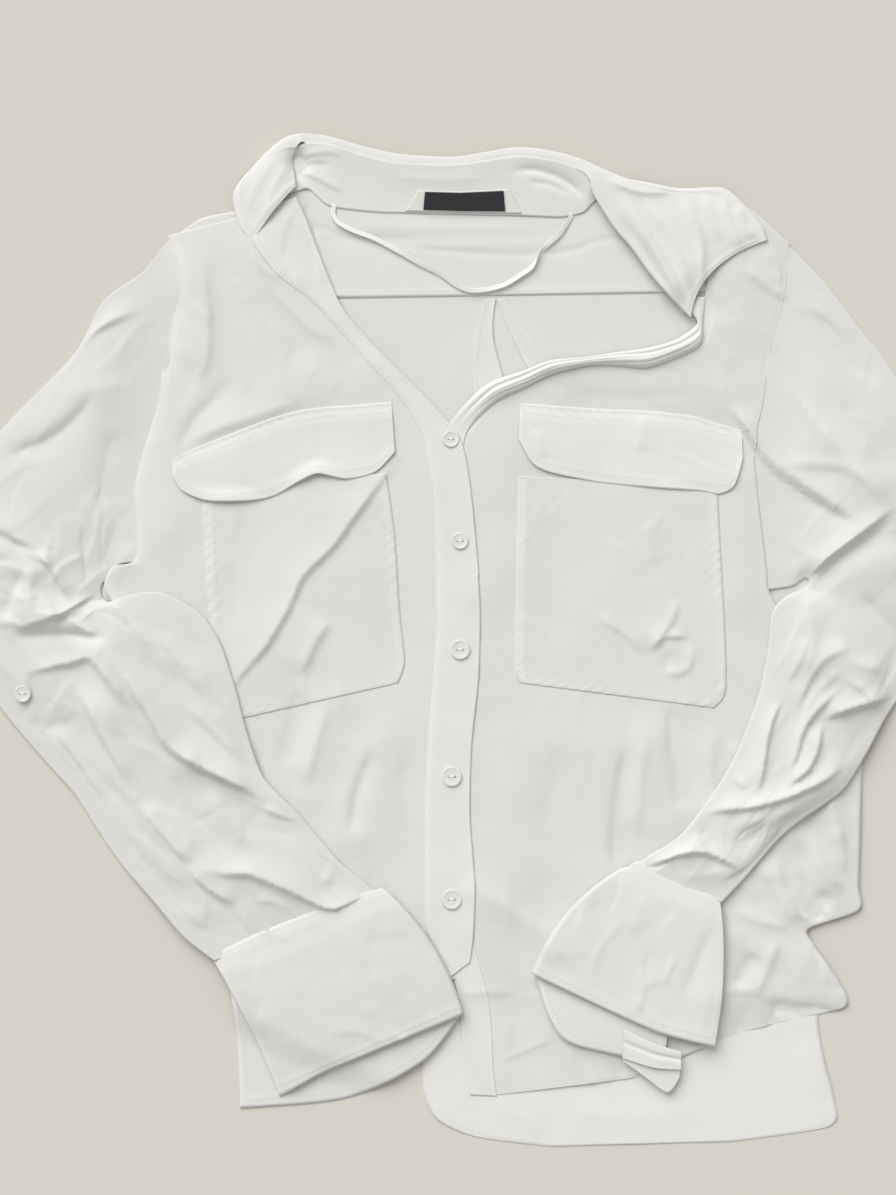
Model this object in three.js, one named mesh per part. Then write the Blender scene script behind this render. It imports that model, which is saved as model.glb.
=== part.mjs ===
// A crumpled shirt blouse lying flat on its back, front up, sleeves folded in over the body.
// Millimetres. +X is the viewer's right, +Y points to the collar, +Z rises from the surface it lies on.
import * as THREE from 'three';

// ---- Driving dimensions ------------------------------------------------------------------
const CLOTH = 1.2; // wall of one layer
const GAP = 0.4; // air left between neighbouring layers and across a seam
const LAYER = CLOTH + GAP;
const TURN = 3; // height of two layers folded together, air included
const ROW_STEP = 24; // longest distance between two rows of a panel
const COLUMN_STEP = 19; // longest distance between two columns of a panel
const FLAT_STEP = 42; // the same on the back, which has no folds
const SLEEVE_COLUMNS = 10;
const BUTTON = { radius: 6, small: 5, thickness: 2.4, rim: 0.7, sides: 14 };
const RIBBON = { width: 3, sides: 8, length: 184 };

// Heights of the undersides in the stack over the body, before the folds lift them
const Z_FRONT = LAYER;
const Z_ON_FRONT = 2 * LAYER;
const Z_POCKET = Z_ON_FRONT + 0.3;
const Z_FLAP = Z_POCKET + LAYER;
const Z_BED = Z_FLAP;
const Z_BUTTON = Z_ON_FRONT + LAYER;

const WHITE = { color: 0xe3e1db, roughness: 0.85, metalness: 0 };

// ---- Curves and walls --------------------------------------------------------------------

// A gentle curve through four rows of numbers, at t between the two middle ones.
function between(before, from, to, after, t) {
  const softness = 0.4;
  return from.map((value, k) => {
    const leaving = softness * (to[k] - before[k]);
    const arriving = softness * (after[k] - from[k]);
    const t2 = t * t;
    const t3 = t2 * t;
    return (
      (2 * t3 - 3 * t2 + 1) * value +
      (t3 - 2 * t2 + t) * leaving +
      (3 * t2 - 2 * t3) * to[k] +
      (t3 - t2) * arriving
    );
  });
}

// The rows of a table with rows added until no x, y pair moves further than the step.
function spread(table, pairs, step) {
  const rows = [];
  for (let i = 0; i < table.length - 1; i += 1) {
    const from = table[i];
    const to = table[i + 1];
    let reach = 0;
    for (let k = 0; k < pairs; k += 1) {
      reach = Math.max(reach, Math.hypot(to[2 * k] - from[2 * k], to[2 * k + 1] - from[2 * k + 1]));
    }
    const count = Math.max(1, Math.ceil(reach / step));
    for (let n = 0; n < count; n += 1) {
      rows.push(between(table[i - 1] ?? from, from, to, table[i + 2] ?? to, n / count));
    }
  }
  rows.push(table[table.length - 1]);
  return rows;
}

const mix = (a, b, t) => a + (b - a) * t;

const smooth = (t) => {
  const u = Math.min(1, Math.max(0, t));
  return u * u * (3 - 2 * u);
};

// Triangles of a grid of points, row by row. closed joins the last column to the first.
function gridFaces(rows, columns, start, closed, faces) {
  const last = closed ? columns : columns - 1;
  for (let i = 0; i < rows - 1; i += 1) {
    for (let j = 0; j < last; j += 1) {
      const a = start + i * columns + j;
      const b = start + i * columns + ((j + 1) % columns);
      faces.push(a, b, b + columns, a, b + columns, a + columns);
    }
  }
}

// A closed mesh from points and triangles, turned to face outwards.
function solid(points, faces) {
  let volume = 0;
  for (let f = 0; f < faces.length; f += 3) {
    const [a, b, c] = [points[faces[f]], points[faces[f + 1]], points[faces[f + 2]]];
    volume += a[0] * (b[1] * c[2] - b[2] * c[1]);
    volume -= a[1] * (b[0] * c[2] - b[2] * c[0]);
    volume += a[2] * (b[0] * c[1] - b[1] * c[0]);
  }
  const outward = volume > 0 ? faces : [...faces].reverse();
  const geometry = new THREE.BufferGeometry();
  geometry.setAttribute('position', new THREE.Float32BufferAttribute(points.flat(), 3));
  geometry.setIndex(outward);
  geometry.computeVertexNormals();
  return geometry;
}

// The wall between two grids of the same size, closed along its four edges.
function wall(under, over) {
  const rows = under.length;
  const columns = under[0].length;
  const points = [...under.flat(), ...over.flat()];
  const upper = rows * columns;
  const faces = [];
  gridFaces(rows, columns, upper, false, faces);
  const lower = [];
  gridFaces(rows, columns, 0, false, lower);
  faces.push(...lower.reverse());
  const rim = [];
  for (let j = 0; j < columns - 1; j += 1) rim.push(j);
  for (let i = 0; i < rows - 1; i += 1) rim.push(i * columns + columns - 1);
  for (let j = columns - 1; j > 0; j -= 1) rim.push((rows - 1) * columns + j);
  for (let i = rows - 1; i > 0; i -= 1) rim.push(i * columns);
  rim.forEach((a, n) => {
    const b = rim[(n + 1) % rim.length];
    faces.push(a, b, b + upper, a, b + upper, a + upper);
  });
  return solid(points, faces);
}

// A sheet through a grid of points in space, half of its thickness on each side.
function shell(grid, thickness) {
  const rows = grid.length;
  const columns = grid[0].length;
  const at = (i, j) => {
    const row = grid[Math.min(rows - 1, Math.max(0, i))];
    return new THREE.Vector3(...row[Math.min(columns - 1, Math.max(0, j))]);
  };
  const side = (sign) =>
    grid.map((row, i) =>
      row.map((point, j) => {
        const along = at(i + 1, j).sub(at(i - 1, j));
        const across = at(i, j + 1).sub(at(i, j - 1));
        const normal = along.cross(across).normalize();
        return point.map((value, k) => value + (sign * thickness * normal.getComponent(k)) / 2);
      })
    );
  return wall(side(-1), side(1));
}

// A flat panel: each row of the table is a straight section from one edge to the other.
function panel(rows, heightAt, columnStep = COLUMN_STEP) {
  let widest = 0;
  for (const [ax, ay, bx, by] of rows) widest = Math.max(widest, Math.hypot(bx - ax, by - ay));
  const columns = Math.max(2, Math.ceil(widest / columnStep) + 1);
  const under = rows.map(([ax, ay, bx, by]) =>
    Array.from({ length: columns }, (_, j) => {
      const t = j / (columns - 1);
      const x = mix(ax, bx, t);
      const y = mix(ay, by, t);
      return [x, y, heightAt(x, y)];
    })
  );
  const over = under.map((row) => row.map(([x, y, z]) => [x, y, z + CLOTH]));
  return wall(under, over);
}

// ---- Outline of the body, shared by its panels -------------------------------------------

// Armholes from the shoulder down: x, y
const ARMHOLE_LEFT = [
  [-171, 242], [-163, 226], [-161, 211], [-167, 190], [-172, 165],
  [-174, 145], [-180, 125], [-186, 100], [-189, 80], [-188, 62], [-184, 48],
];
const ARMHOLE_RIGHT = [
  [204, 239], [202, 220], [199, 200], [193, 180], [190, 160],
  [188, 143], [184, 124], [183, 100], [186, 78], [189, 55], [191, 31],
];
const ARMHOLE_STEP = 10;
const armholeLeft = spread(ARMHOLE_LEFT, 1, ARMHOLE_STEP);
const armholeRight = spread(ARMHOLE_RIGHT, 1, ARMHOLE_STEP);

// x of an armhole at the height y, or null above and below it.
function armholeAt(curve, y) {
  for (let i = 0; i < curve.length - 1; i += 1) {
    const [x1, y1] = curve[i];
    const [x2, y2] = curve[i + 1];
    if (y <= y1 && y >= y2) return mix(x1, x2, (y1 - y) / (y1 - y2));
  }
  return null;
}

const onLeftArmhole = (x, y) => armholeAt(armholeLeft, y) ?? x;
const onRightArmhole = (x, y) => armholeAt(armholeRight, y) ?? x;

// Sides and hems of the body all round, clockwise from the left underarm: x, y
const BODY_OUTLINE = [
  [-200, 34], [-196, 43], [-184, 48], [-190, 80], [-174, 145], [-161, 211], [-171, 242],
  [-133, 257], [-84, 303], [60, 293], [171, 264], [204, 239], [188, 143], [183, 100],
  [191, 31], [247, -62], [245, -162],
  [214, -172], [237, -221], [231, -290], [60, -303], [-9, -286], [-19, -249], [-141, -192],
  [-183, -60], [-189, 4], [-197, 22],
];

// Distance of a point outside the body's outline; 0 inside.
function outside(x, y) {
  let inside = false;
  let nearest = Infinity;
  BODY_OUTLINE.forEach(([x1, y1], n) => {
    const [x2, y2] = BODY_OUTLINE[(n + 1) % BODY_OUTLINE.length];
    if (y1 > y !== y2 > y && x < x1 + ((y - y1) * (x2 - x1)) / (y2 - y1)) inside = !inside;
    nearest = Math.min(nearest, toSegment(x, y, x1, y1, x2, y2));
  });
  return inside ? 0 : nearest;
}

function toSegment(x, y, x1, y1, x2, y2) {
  const [dx, dy] = [x2 - x1, y2 - y1];
  const t = Math.min(1, Math.max(0, ((x - x1) * dx + (y - y1) * dy) / (dx * dx + dy * dy)));
  return Math.hypot(x - x1 - t * dx, y - y1 - t * dy);
}

// ---- Folds -------------------------------------------------------------------------------

// Soft ridges of the fronts: from x, y, to x, y, height, half-width
const FRONT_RIDGES = [
  [-157, 226, -158, 176, 3.6, 13],
  [-122, 232, -92, 158, 3.2, 20],
  [-52, 158, -150, 138, 1.8, 14],
  [-166, 118, -170, 68, 3.0, 14],
  [-50, 88, -118, -10, 2.0, 26],
  [-72, -38, -86, -92, 2.6, 13],
  [-40, -58, -58, -116, 2.4, 13],
  [-110, -96, -122, -150, 2.2, 16],
  [172, 236, 176, 190, 2.6, 14],
  [74, 154, 168, 148, 2.6, 13],
  [30, 118, 34, 40, 1.8, 16],
  [172, 96, 176, 32, 2.8, 15],
  [118, 74, 122, 20, 1.4, 26],
  [121, -58, 127, -106, 3.8, 13],
  [92, -66, 94, -134, 2.4, 14],
  [44, -62, 40, -128, 1.8, 18],
  [18, -150, 62, -180, 2.2, 11],
  [214, -78, 226, -150, 3.0, 15],
  [176, -176, 226, -196, 2.6, 13],
  [160, -212, 228, -216, 2.4, 12],
  [60, -226, 150, -250, 2.0, 18],
];

// How far the folds lift the fronts, and all that lies on them, at a point.
function relief(x, y) {
  let height = 0;
  for (const [x1, y1, x2, y2, ridge, halfWidth] of FRONT_RIDGES) {
    const away = toSegment(x, y, x1, y1, x2, y2) / halfWidth;
    if (away < 3) height += ridge * Math.exp(-away * away);
  }
  return height;
}

const onStack = (z) => (x, y) => z + relief(x, y);

// The bed that a sleeve or cuff lies on: the stack over the body, beyond it a slope to the floor.
const BED_SHOULDER = 16;
const BED_SLOPE = 22;
function bed(x, y) {
  const away = outside(x, y) - BED_SHOULDER;
  return away >= BED_SLOPE ? 0 : (Z_BED + relief(x, y)) * (1 - smooth(away / BED_SLOPE));
}

// ---- Back --------------------------------------------------------------------------------

// The yoke's lower seam rises a little to the right.
const YOKE_SEAM = { left: 204, right: 210, from: -161, to: 199 };
const yokeSeam = (x) =>
  mix(YOKE_SEAM.left, YOKE_SEAM.right, (x - YOKE_SEAM.from) / (YOKE_SEAM.to - YOKE_SEAM.from));

// The yoke in upright sections from left to right: top x, y, seam x
const YOKE = [
  [-165.5, 242, -160],
  [-150, 253, -142],
  [-133, 257, -120],
  [-108, 262, -98],
  [-88, 273, -74],
  [-72, 268, -56],
  [-45, 262, -30],
  [-30, 260, -12],
  [6, 257, 18],
  [43, 256, 52],
  [66, 258, 82],
  [80, 263, 104],
  [120, 267, 134],
  [171, 264, 168],
  [202.5, 239, 198.5],
].map(([topX, topY, seamX]) => [topX, topY, seamX, yokeSeam(seamX)]);

function backYoke() {
  return panel(spread(YOKE, 2, FLAT_STEP), () => 0, FLAT_STEP);
}

// The back below the yoke: left x, y, right x, y
const BACK = [
  [YOKE_SEAM.from, YOKE_SEAM.left - GAP, YOKE_SEAM.to, YOKE_SEAM.right - GAP],
  [-170, 184, 194, 186],
  [-174, 150, 189, 150],
  [-180, 125, 184, 125],
  [-189, 88, 185, 88],
  [-184, 48, 190, 34],
  [-196, 43, 193, 26],
  [-200, 34, 200, 14],
  [-197, 22, 208, 2],
  [-189, 4, 219, -8],
  [-186, -20, 234, -29],
  [-183, -60, 246, -62],
  [-175, -100, 245, -105],
  [-162, -140, 244, -150],
  [-150, -170, 240, -162],
  [-140, -188, 212, -174],
  [-90, -216, 217, -196],
  [-50, -232, 220, -216],
  [-19, -249, 222, -236],
  [-16, -269, 226, -257],
  [-9, -286, 231, -276],
  [14, -297, 228, -291],
  [60, -303, 170, -300],
];

function backPanel() {
  const rows = spread(BACK, 2, ROW_STEP).map(([ax, ay, bx, by]) => [
    onLeftArmhole(ax, ay),
    ay,
    onRightArmhole(bx, by),
    by,
  ]);
  return panel(rows, () => 0, FLAT_STEP);
}

// ---- Fronts, placket and button band -----------------------------------------------------

// Left front and its placket: side x, y, seam x, y, free edge x, y
const LEFT_FRONT = [
  [-169, 243, -121, 257, -92, 266],
  [-163, 226, -118, 239, -85, 250],
  [-161, 210, -104, 220, -76, 226],
  [-166, 192, -80, 201, -63, 197],
  [-172, 165, -51, 169, -37, 168],
  [-174, 145, -30, 146, -14, 145],
  [-180, 125, -17, 125, 3, 126],
  [-184, 112, -14, 112, 9, 112],
  [-189, 88, -10, 88, 13, 86],
  [-184, 48, -8, 45, 17, 44],
  [-196, 43, -8, 38, 17, 38],
  [-200, 34, -8, 30, 17.5, 30],
  [-197, 22, -8, 20, 18, 20],
  [-189, 4, -8, 4, 18, 4],
  [-186, -20, -10, -22, 17, -24],
  [-183, -60, -13, -59, 13, -62],
  [-174, -100, -15, -104, 12, -104],
  [-160, -140, -15, -145, 15, -147],
  [-144, -172, -14, -172, 14, -176],
  [-112, -196, -2, -203, 12, -192],
];

// Right front and its button band: band's inner edge x, y, seam x, y, side x, y
const RIGHT_FRONT = [
  [148, 190, 150, 178, 193, 182],
  [136, 181, 141, 172, 192, 174],
  [120, 176, 119, 164, 190, 162],
  [100, 173, 101, 165, 189, 152],
  [80, 170, 83, 165, 188, 145],
  [60, 168, 62, 160, 187, 138],
  [44, 162, 47, 153, 185, 131],
  [24, 155, 30, 145, 184, 125],
  [10, 143, 18, 135, 184, 119],
  [-2, 128, 10, 125, 183, 112],
  [-10, 112, 8, 112, 183, 105],
  [-7, 88, 11, 86, 185, 85],
  [-3, 45, 15, 44, 190, 42],
  [-3, 30, 15, 28, 192, 28],
  [-2, 0, 16, 0, 210, 0],
  [-4, -26, 15, -26, 234, -29],
  [-8, -62, 11, -62, 246, -62],
  [-9, -104, 10, -104, 246, -105],
  [-6, -147, 13, -147, 245, -146],
  [-5, -164, 13, -163, 245, -161],
  [-4, -178, 13, -176, 215, -172],
  [1, -196, 18, -195, 218, -182],
  [5, -215, 23, -214, 233, -204],
  [7, -236, 25, -234, 237, -219],
  [8, -246, 25.5, -246, 202, -228],
  [9.5, -257, 26, -257, 162, -239],
  [12, -272, 28, -273, 110, -262],
];
// The right front above the rolled neckline: neck edge x, y, side x, y
const RIGHT_SHOULDER = [
  [167, 265, 203, 239],
  [159, 242, 202, 220],
  [153, 210, 199, 200],
];
const NECKLINE_END = 120;
// Height of the roll of the button band, by row of RIGHT_FRONT
const BAND_ROLL = [1, 4.5, 5.5, 5, 4.5, 5, 5, 4.5, 2, 0];
const PLACKET_LAP = 1.5;

function frontLeft() {
  const rows = spread(LEFT_FRONT, 3, ROW_STEP).map(([ax, ay, bx, by]) => [
    onLeftArmhole(ax, ay),
    ay,
    bx,
    by,
  ]);
  return panel(rows, onStack(Z_FRONT));
}

function placket() {
  const rows = spread(LEFT_FRONT, 3, ROW_STEP).map((row) => [
    row[2] - PLACKET_LAP,
    row[3],
    row[4],
    row[5],
  ]);
  return panel(rows, onStack(Z_ON_FRONT));
}

function frontRight() {
  const shoulder = RIGHT_SHOULDER.map(([nx, ny, sx, sy]) => [nx, ny, nx, ny, sx, sy]);
  const rows = spread([...shoulder, ...RIGHT_FRONT], 3, ROW_STEP).map((row) => {
    const [, , seamX, seamY, sideX, sideY] = row;
    const span = Math.hypot(sideX - seamX, sideY - seamY);
    return [
      seamX + (GAP * (sideX - seamX)) / span,
      seamY + (GAP * (sideY - seamY)) / span - (sideY > NECKLINE_END ? GAP : 0),
      onRightArmhole(sideX, sideY),
      sideY,
    ];
  });
  return panel(rows, onStack(Z_FRONT));
}

// The band lies under the placket and rolls up along the open neckline.
function buttonBand() {
  const rolled = RIGHT_FRONT.map((row, n) => [...row.slice(0, 4), BAND_ROLL[n] ?? 0, 0]);
  const columns = 5;
  const under = spread(rolled, 2, ROW_STEP).map(([ax, ay, bx, by, roll]) =>
    Array.from({ length: columns }, (_, j) => {
      const t = j / (columns - 1);
      const x = mix(ax, bx, t);
      const y = mix(ay, by, t);
      return [x, y, Z_FRONT + relief(x, y) + roll * Math.sin(Math.PI * t)];
    })
  );
  const over = under.map((row) => row.map(([x, y, z]) => [x, y, z + CLOTH]));
  return wall(under, over);
}

// ---- Pockets and flaps -------------------------------------------------------------------

// Pockets: left x, y, right x, y, from under the flap down
const POCKET_LEFT = [
  [-149, 100, -38, 100],
  [-147, 60, -33, 64],
  [-145, 15, -30, 18],
  [-143, -25, -27, -12],
  [-141, -50, -31, -25],
];
const POCKET_RIGHT = [
  [41, 99, 160, 93],
  [40, 60, 162, 55],
  [39, 0, 165, 0],
  [39, -18, 165, -31],
  [42, -25, 158, -40],
];

// Flaps in upright sections from left to right: top x, y, bottom x, y
const FLAP_LEFT = [
  [-166, 109, -166, 99],
  [-158, 113, -160, 90],
  [-144, 119, -145, 84],
  [-126, 126, -120, 84],
  [-108, 133, -105, 87],
  [-90, 138, -91, 95],
  [-75, 140, -79, 100],
  [-60, 141, -62, 97],
  [-43, 142.5, -45, 101],
  [-35, 143, -33, 113],
];
const FLAP_RIGHT = [
  [42, 142, 41, 121],
  [49, 142, 49, 107],
  [60, 141, 60, 101],
  [90, 139, 90, 95],
  [116, 138, 120, 92],
  [144, 135, 149, 90],
  [158, 131, 161, 88],
  [168, 128, 170, 93],
  [175, 126, 175, 109],
];

// A flat piece on the stack, at the height of its layer.
function patch(table, z) {
  return panel(spread(table, 2, ROW_STEP), onStack(z));
}

// ---- Collar ------------------------------------------------------------------------------

// The stand: seam x, y, roll x, y, seam z, roll z, from the left front round the back to the right
const STAND = [
  [-90, 275, -94, 288, 1.4, 7],
  [-84, 276.5, -84, 298, 1.2, 9],
  [-72, 271.5, -71, 297, 0.9, 9],
  [-45, 264.6, -50, 290, 0.9, 9],
  [-30, 262.6, -30, 286, 0.9, 9],
  [6, 259.6, 4, 285, 0.9, 9],
  [43, 258.6, 40, 290, 0.9, 9],
  [66, 260.6, 64, 287, 0.9, 9.5],
  [79, 266, 80, 280, 1.6, 10],
  [84, 268.5, 83, 275, 1.6, 10.4],
  [89, 269.5, 84.5, 270.5, 1.8, 10.2],
  [94, 268.5, 87, 265.5, 2, 9.6],
  [99, 265.5, 91, 259.5, 2.2, 8.6],
  [112, 256, 101, 247, 2.4, 6.6],
  [124, 243, 112, 234, 2.4, 5.6],
  [134, 228, 122, 220, 2.4, 5.2],
  [143, 212, 131, 207, 2.4, 5],
  [148, 201, 139, 197, 2.4, 5],
];

// The leaf: fold x, y, middle x, y, edge x, y, then the height z of each, from left to right.
// Over the back neck it turns under the stand; at both ends it falls on the fronts.
const LEAF = [
  [-93, 272, -106, 256, -118, 239, 9, 9, 8],
  [-93, 280, -110, 268, -126, 248, 9.8, 9, 7.6],
  [-94, 289, -112, 281, -130, 267, 10.4, 8.4, 5.6],
  [-93, 294, -106, 293, -121, 281, 10.8, 8, 2.6],
  [-90, 299, -96, 302, -104, 296, 11, 6.6, 0.8],
  [-84, 300, -86, 303, -86, 288, 11, 4.4, 0.7],
  [-72, 298.6, -73, 301, -74, 284, 11, 4.4, 0.7],
  [-50, 291.6, -49, 294.5, -48, 278, 11, 4.4, 0.7],
  [-30, 287.6, -29, 290.5, -29, 274, 11, 4.4, 0.7],
  [4, 286.6, 4, 289, 5, 272, 11, 4.4, 0.7],
  [40, 291.6, 41, 294.5, 42, 276, 11, 4.4, 0.7],
  [64, 288.6, 66, 291.5, 70, 277, 11.4, 4.4, 0.7],
  [78, 284.5, 81, 287, 87, 276, 12, 6.4, 1.4],
  [83, 276, 92, 281, 101, 276.5, 12, 8, 3.6],
  [88, 265, 100, 273, 114, 275, 11.2, 8.4, 5],
  [98, 247, 118, 262, 138, 271, 8.6, 7.2, 4.8],
  [109, 234, 138, 254, 164, 271, 7.6, 6.8, 6],
  [119, 220, 150, 240, 180, 257, 7.2, 6.8, 6.4],
  [128, 207, 156, 229, 186, 248, 7, 7, 6.4],
  [136, 196, 158, 220, 190, 240, 7, 7, 6.4],
];

const standRows = spread(STAND, 2, ROW_STEP);

function collarStand() {
  const columns = 4;
  const grid = standRows.map(([sx, sy, rx, ry, sz, rz]) =>
    Array.from({ length: columns }, (_, j) => {
      const t = j / (columns - 1);
      return [mix(sx, rx, t), mix(sy, ry, t), mix(sz, rz, t)];
    })
  );
  return shell(grid, CLOTH);
}

function collarLeaf() {
  const columns = 7;
  const grid = spread(LEAF, 3, ROW_STEP).map(([fx, fy, mx, my, ex, ey, fz, mz, ez]) => {
    const curve = new THREE.CatmullRomCurve3(
      [new THREE.Vector3(fx, fy, fz), new THREE.Vector3(mx, my, mz), new THREE.Vector3(ex, ey, ez)]
    );
    return curve.getPoints(columns - 1).map((point) => point.toArray());
  });
  return shell(grid, CLOTH);
}

// ---- Sleeves and cuffs -------------------------------------------------------------------

// Sections of each sleeve from the armhole to the cuff: outer fold x, y, inner fold x, y, puff,
// how much of the armhole's curve the section keeps, and 1 where it rests on the body, 0 on the floor
const SLEEVE_LEFT = [
  [-171, 242, -184, 48, 0.4, 1, 0],
  [-185, 221, -198, 46, 3, 0.6, 0],
  [-208, 203, -205, 37, 5, 0.3, 0],
  [-226, 171, -208, 34.5, 7, 0, 0],
  [-270, 125, -209, 32, 9, 0, 0],
  [-288, 91, -209, 29.5, 11, 0, 0],
  [-293, 49, -208.5, 27, 12, 0, 0],
  [-292, 13, -207, 25, 11, 0, 0],
  [-282, -17, -203.5, 23.5, 10, 0, 0.9],
  [-272, -36, -191, 28, 8, 0, 1],
  [-264, -47, -172, 29, 8, 0, 1],
  [-254, -59, -149, 16, 7, 0, 1],
  [-240, -75, -137, -2, 6, 0, 1],
  [-224, -93, -128, -29, 6, 0, 1],
  [-210, -115, -121, -56, 5, 0, 1],
  [-196, -135, -111, -82, 5, 0, 1],
  [-178, -155, -90, -104, 4, 0, 1],
  [-159, -177, -66, -132, 3, 0, 1],
  [-141, -191, -43, -151, 0.6, 0, 1],
];
const SLEEVE_RIGHT = [
  [204, 239, 191, 31, 0.4, 1, 0],
  [222, 217, 204, 33, 3, 0.6, 0],
  [242, 191, 210, 37, 5, 0.3, 0],
  [268, 157, 213, 38, 8, 0, 0],
  [285, 115, 215, 37, 10, 0, 0],
  [293, 61, 215, 34, 11, 0, 0],
  [292, 19, 212, 31, 11, 0, 0],
  [286, -5, 202, 27, 10, 0, 0.9],
  [277, -23, 193, 17, 9, 0, 1],
  [261, -44, 190, -8, 7, 0, 1],
  [248, -68, 184, -35, 6, 0, 1],
  [234, -89, 171, -68, 6, 0, 1],
  [210, -106, 157, -92, 6, 0, 1],
  [195, -119, 138, -116, 5, 0, 1],
  [177, -140, 120, -128, 3, 0, 1],
  [162, -156, 109, -135, 0.6, 0, 1],
];
// Long folds on the sleeves: from x, y, to x, y, height, half-width
const SLEEVE_RIDGES = [
  [-190, 196, -232, 160, 4, 14],
  [-258, 122, -212, 148, 4.5, 14],
  [-276, 68, -244, 44, 5, 12],
  [-258, 20, -206, -2, 5, 12],
  [-252, -22, -206, -44, 4, 12],
  [-200, -16, -160, -70, 4, 12],
  [-150, -70, -100, -96, 4, 11],
  [-160, -134, -88, -142, 4, 11],
  [206, 168, 254, 96, 4.5, 14],
  [226, 118, 270, 76, 4, 13],
  [222, 40, 270, 50, 4.5, 13],
  [208, -8, 250, -20, 4, 12],
  [184, -104, 236, -76, 5, 10],
  [190, -38, 182, -90, 4, 11],
  [130, -126, 162, -140, 3.5, 10],
];
const SEAM_CLEARANCE = 1;

function sleeveFolds(x, y) {
  let height = 0;
  for (const [x1, y1, x2, y2, ridge, halfWidth] of SLEEVE_RIDGES) {
    const away = toSegment(x, y, x1, y1, x2, y2) / halfWidth;
    if (away < 3) height += ridge * Math.exp(-away * away);
  }
  return height;
}

// A sleeve is a flattened tube of cloth, open at the armhole and at the cuff.
function sleeve(table, armhole, outwards) {
  const count = SLEEVE_COLUMNS;
  const top = armhole[0];
  const base = armhole[armhole.length - 1];
  // x of the armhole beside its own chord, at a share t of the way down
  const bend = (t) => {
    const y = mix(top[1], base[1], t);
    return armholeAt(armhole, y) - mix(top[0], base[0], t);
  };
  const outer = [];
  const inner = [];
  for (const [ox, oy, ix, iy, puff, kept, rests] of spread(table, 2, ROW_STEP)) {
    const resting = Math.min(1, Math.max(0, rests));
    const width = Math.hypot(ix - ox, iy - oy);
    const inset = CLOTH / width;
    const place = (t) => {
      const x = mix(ox, ix, t) + kept * (bend(t) + outwards * SEAM_CLEARANCE);
      return [x, mix(oy, iy, t)];
    };
    const lift = (x, y, t) => {
      const crown = Math.max(0, Math.sin(Math.PI * t)) ** 0.8;
      const share = Math.min(1, puff / 4);
      return TURN + puff * crown + share * crown * sleeveFolds(x, y);
    };
    const ring = (from, to, under, over) => {
      const lower = [];
      const upper = [];
      for (let j = 0; j < count; j += 1) {
        const t = mix(from, to, j / (count - 1));
        const [x, y] = place(t);
        const floor = resting * bed(x, y);
        lower.push([x, y, floor + under]);
        upper.push([x, y, floor + lift(x, y, t) - over]);
      }
      return [...lower, ...upper.reverse()];
    };
    outer.push(ring(0, 1, 0, 0));
    inner.push(ring(inset, 1 - inset, CLOTH, CLOTH));
  }
  const rows = outer.length;
  const around = 2 * count;
  const points = [...outer.flat(), ...inner.flat()];
  const faces = [];
  gridFaces(rows, around, 0, true, faces);
  const inside = [];
  gridFaces(rows, around, rows * around, true, inside);
  faces.push(...inside.reverse());
  for (let j = 0; j < around; j += 1) {
    const next = (j + 1) % around;
    const far = (rows - 1) * around;
    const lining = rows * around;
    faces.push(next, j, j + lining, next, j + lining, next + lining);
    const [a, b] = [far + j, far + next];
    faces.push(a, b, b + lining, a, b + lining, a + lining);
  }
  return solid(points, faces);
}

// Cuffs: strips folded over once. Each row is a section from the sleeve seam to the mouth:
// seam x, y, middle x, y, mouth x, y. The layer below starts at the upper one's last row.
const CUFF_LEFT = {
  over: [
    [-141, -191.6, -121, -228, -102, -273],
    [-110, -179, -88, -222, -72, -256],
    [-77, -165.6, -52, -205, -32, -239],
    [-50, -154.6, -22, -188, -3, -227],
    [-38, -151, -11, -183.5, 6.5, -223],
  ],
  under: [
    [-60, -162, -36, -210, -16, -251],
    [-90, -175, -76, -226, -62, -274],
    [-134, -192, -128, -236, -126, -280],
  ],
};
const CUFF_RIGHT = {
  over: [
    [161.5, -156.4, 163, -198, 158, -242],
    [137, -146.7, 134, -190, 124, -233],
    [113, -137.2, 102, -180, 84, -215],
    [102, -137.2, 71, -163.5, 51, -199.5],
  ],
  under: [
    [113, -143, 84, -190, 60, -226],
    [124, -147, 100, -200, 74, -241],
    [142, -152, 134, -204, 128, -253],
  ],
};
const TURN_ROWS = 3; // rows in the half circle where a cuff turns over
const TURN_RADIUS = 1.6; // of that half circle, to the middle of the cloth

function cuff({ over, under }) {
  const lengthwise = 7;
  const upper = spread(over, 3, ROW_STEP);
  const edge = upper[upper.length - 1];
  const lower = spread([edge, ...under], 3, ROW_STEP);
  const outward = new THREE.Vector2(over[3][2] - over[2][2], over[3][3] - over[2][3]).normalize();
  const turn = Array.from({ length: TURN_ROWS }, (_, n) => {
    const angle = (Math.PI * (n + 1)) / (TURN_ROWS + 1);
    const [dx, dy] = outward.clone().multiplyScalar(TURN_RADIUS * Math.sin(angle)).toArray();
    const row = edge.map((value, k) => value + (k % 2 === 0 ? dx : dy));
    return { row, layer: (1 + Math.cos(angle)) / 2 };
  });
  const strip = [
    ...upper.map((row) => ({ row, layer: 1 })),
    ...turn,
    ...lower.map((row) => ({ row, layer: 0 })),
  ];
  const grid = strip.map(({ row: [sx, sy, mx, my, ex, ey], layer }) => {
    const curve = new THREE.QuadraticBezierCurve(
      new THREE.Vector2(sx, sy),
      new THREE.Vector2(2 * mx - (sx + ex) / 2, 2 * my - (sy + ey) / 2),
      new THREE.Vector2(ex, ey)
    );
    return curve
      .getPoints(lengthwise - 1)
      .map(({ x, y }) => [x, y, bed(x, y) + CLOTH / 2 + 2 * TURN_RADIUS * layer]);
  });
  return shell(grid, CLOTH);
}

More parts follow.
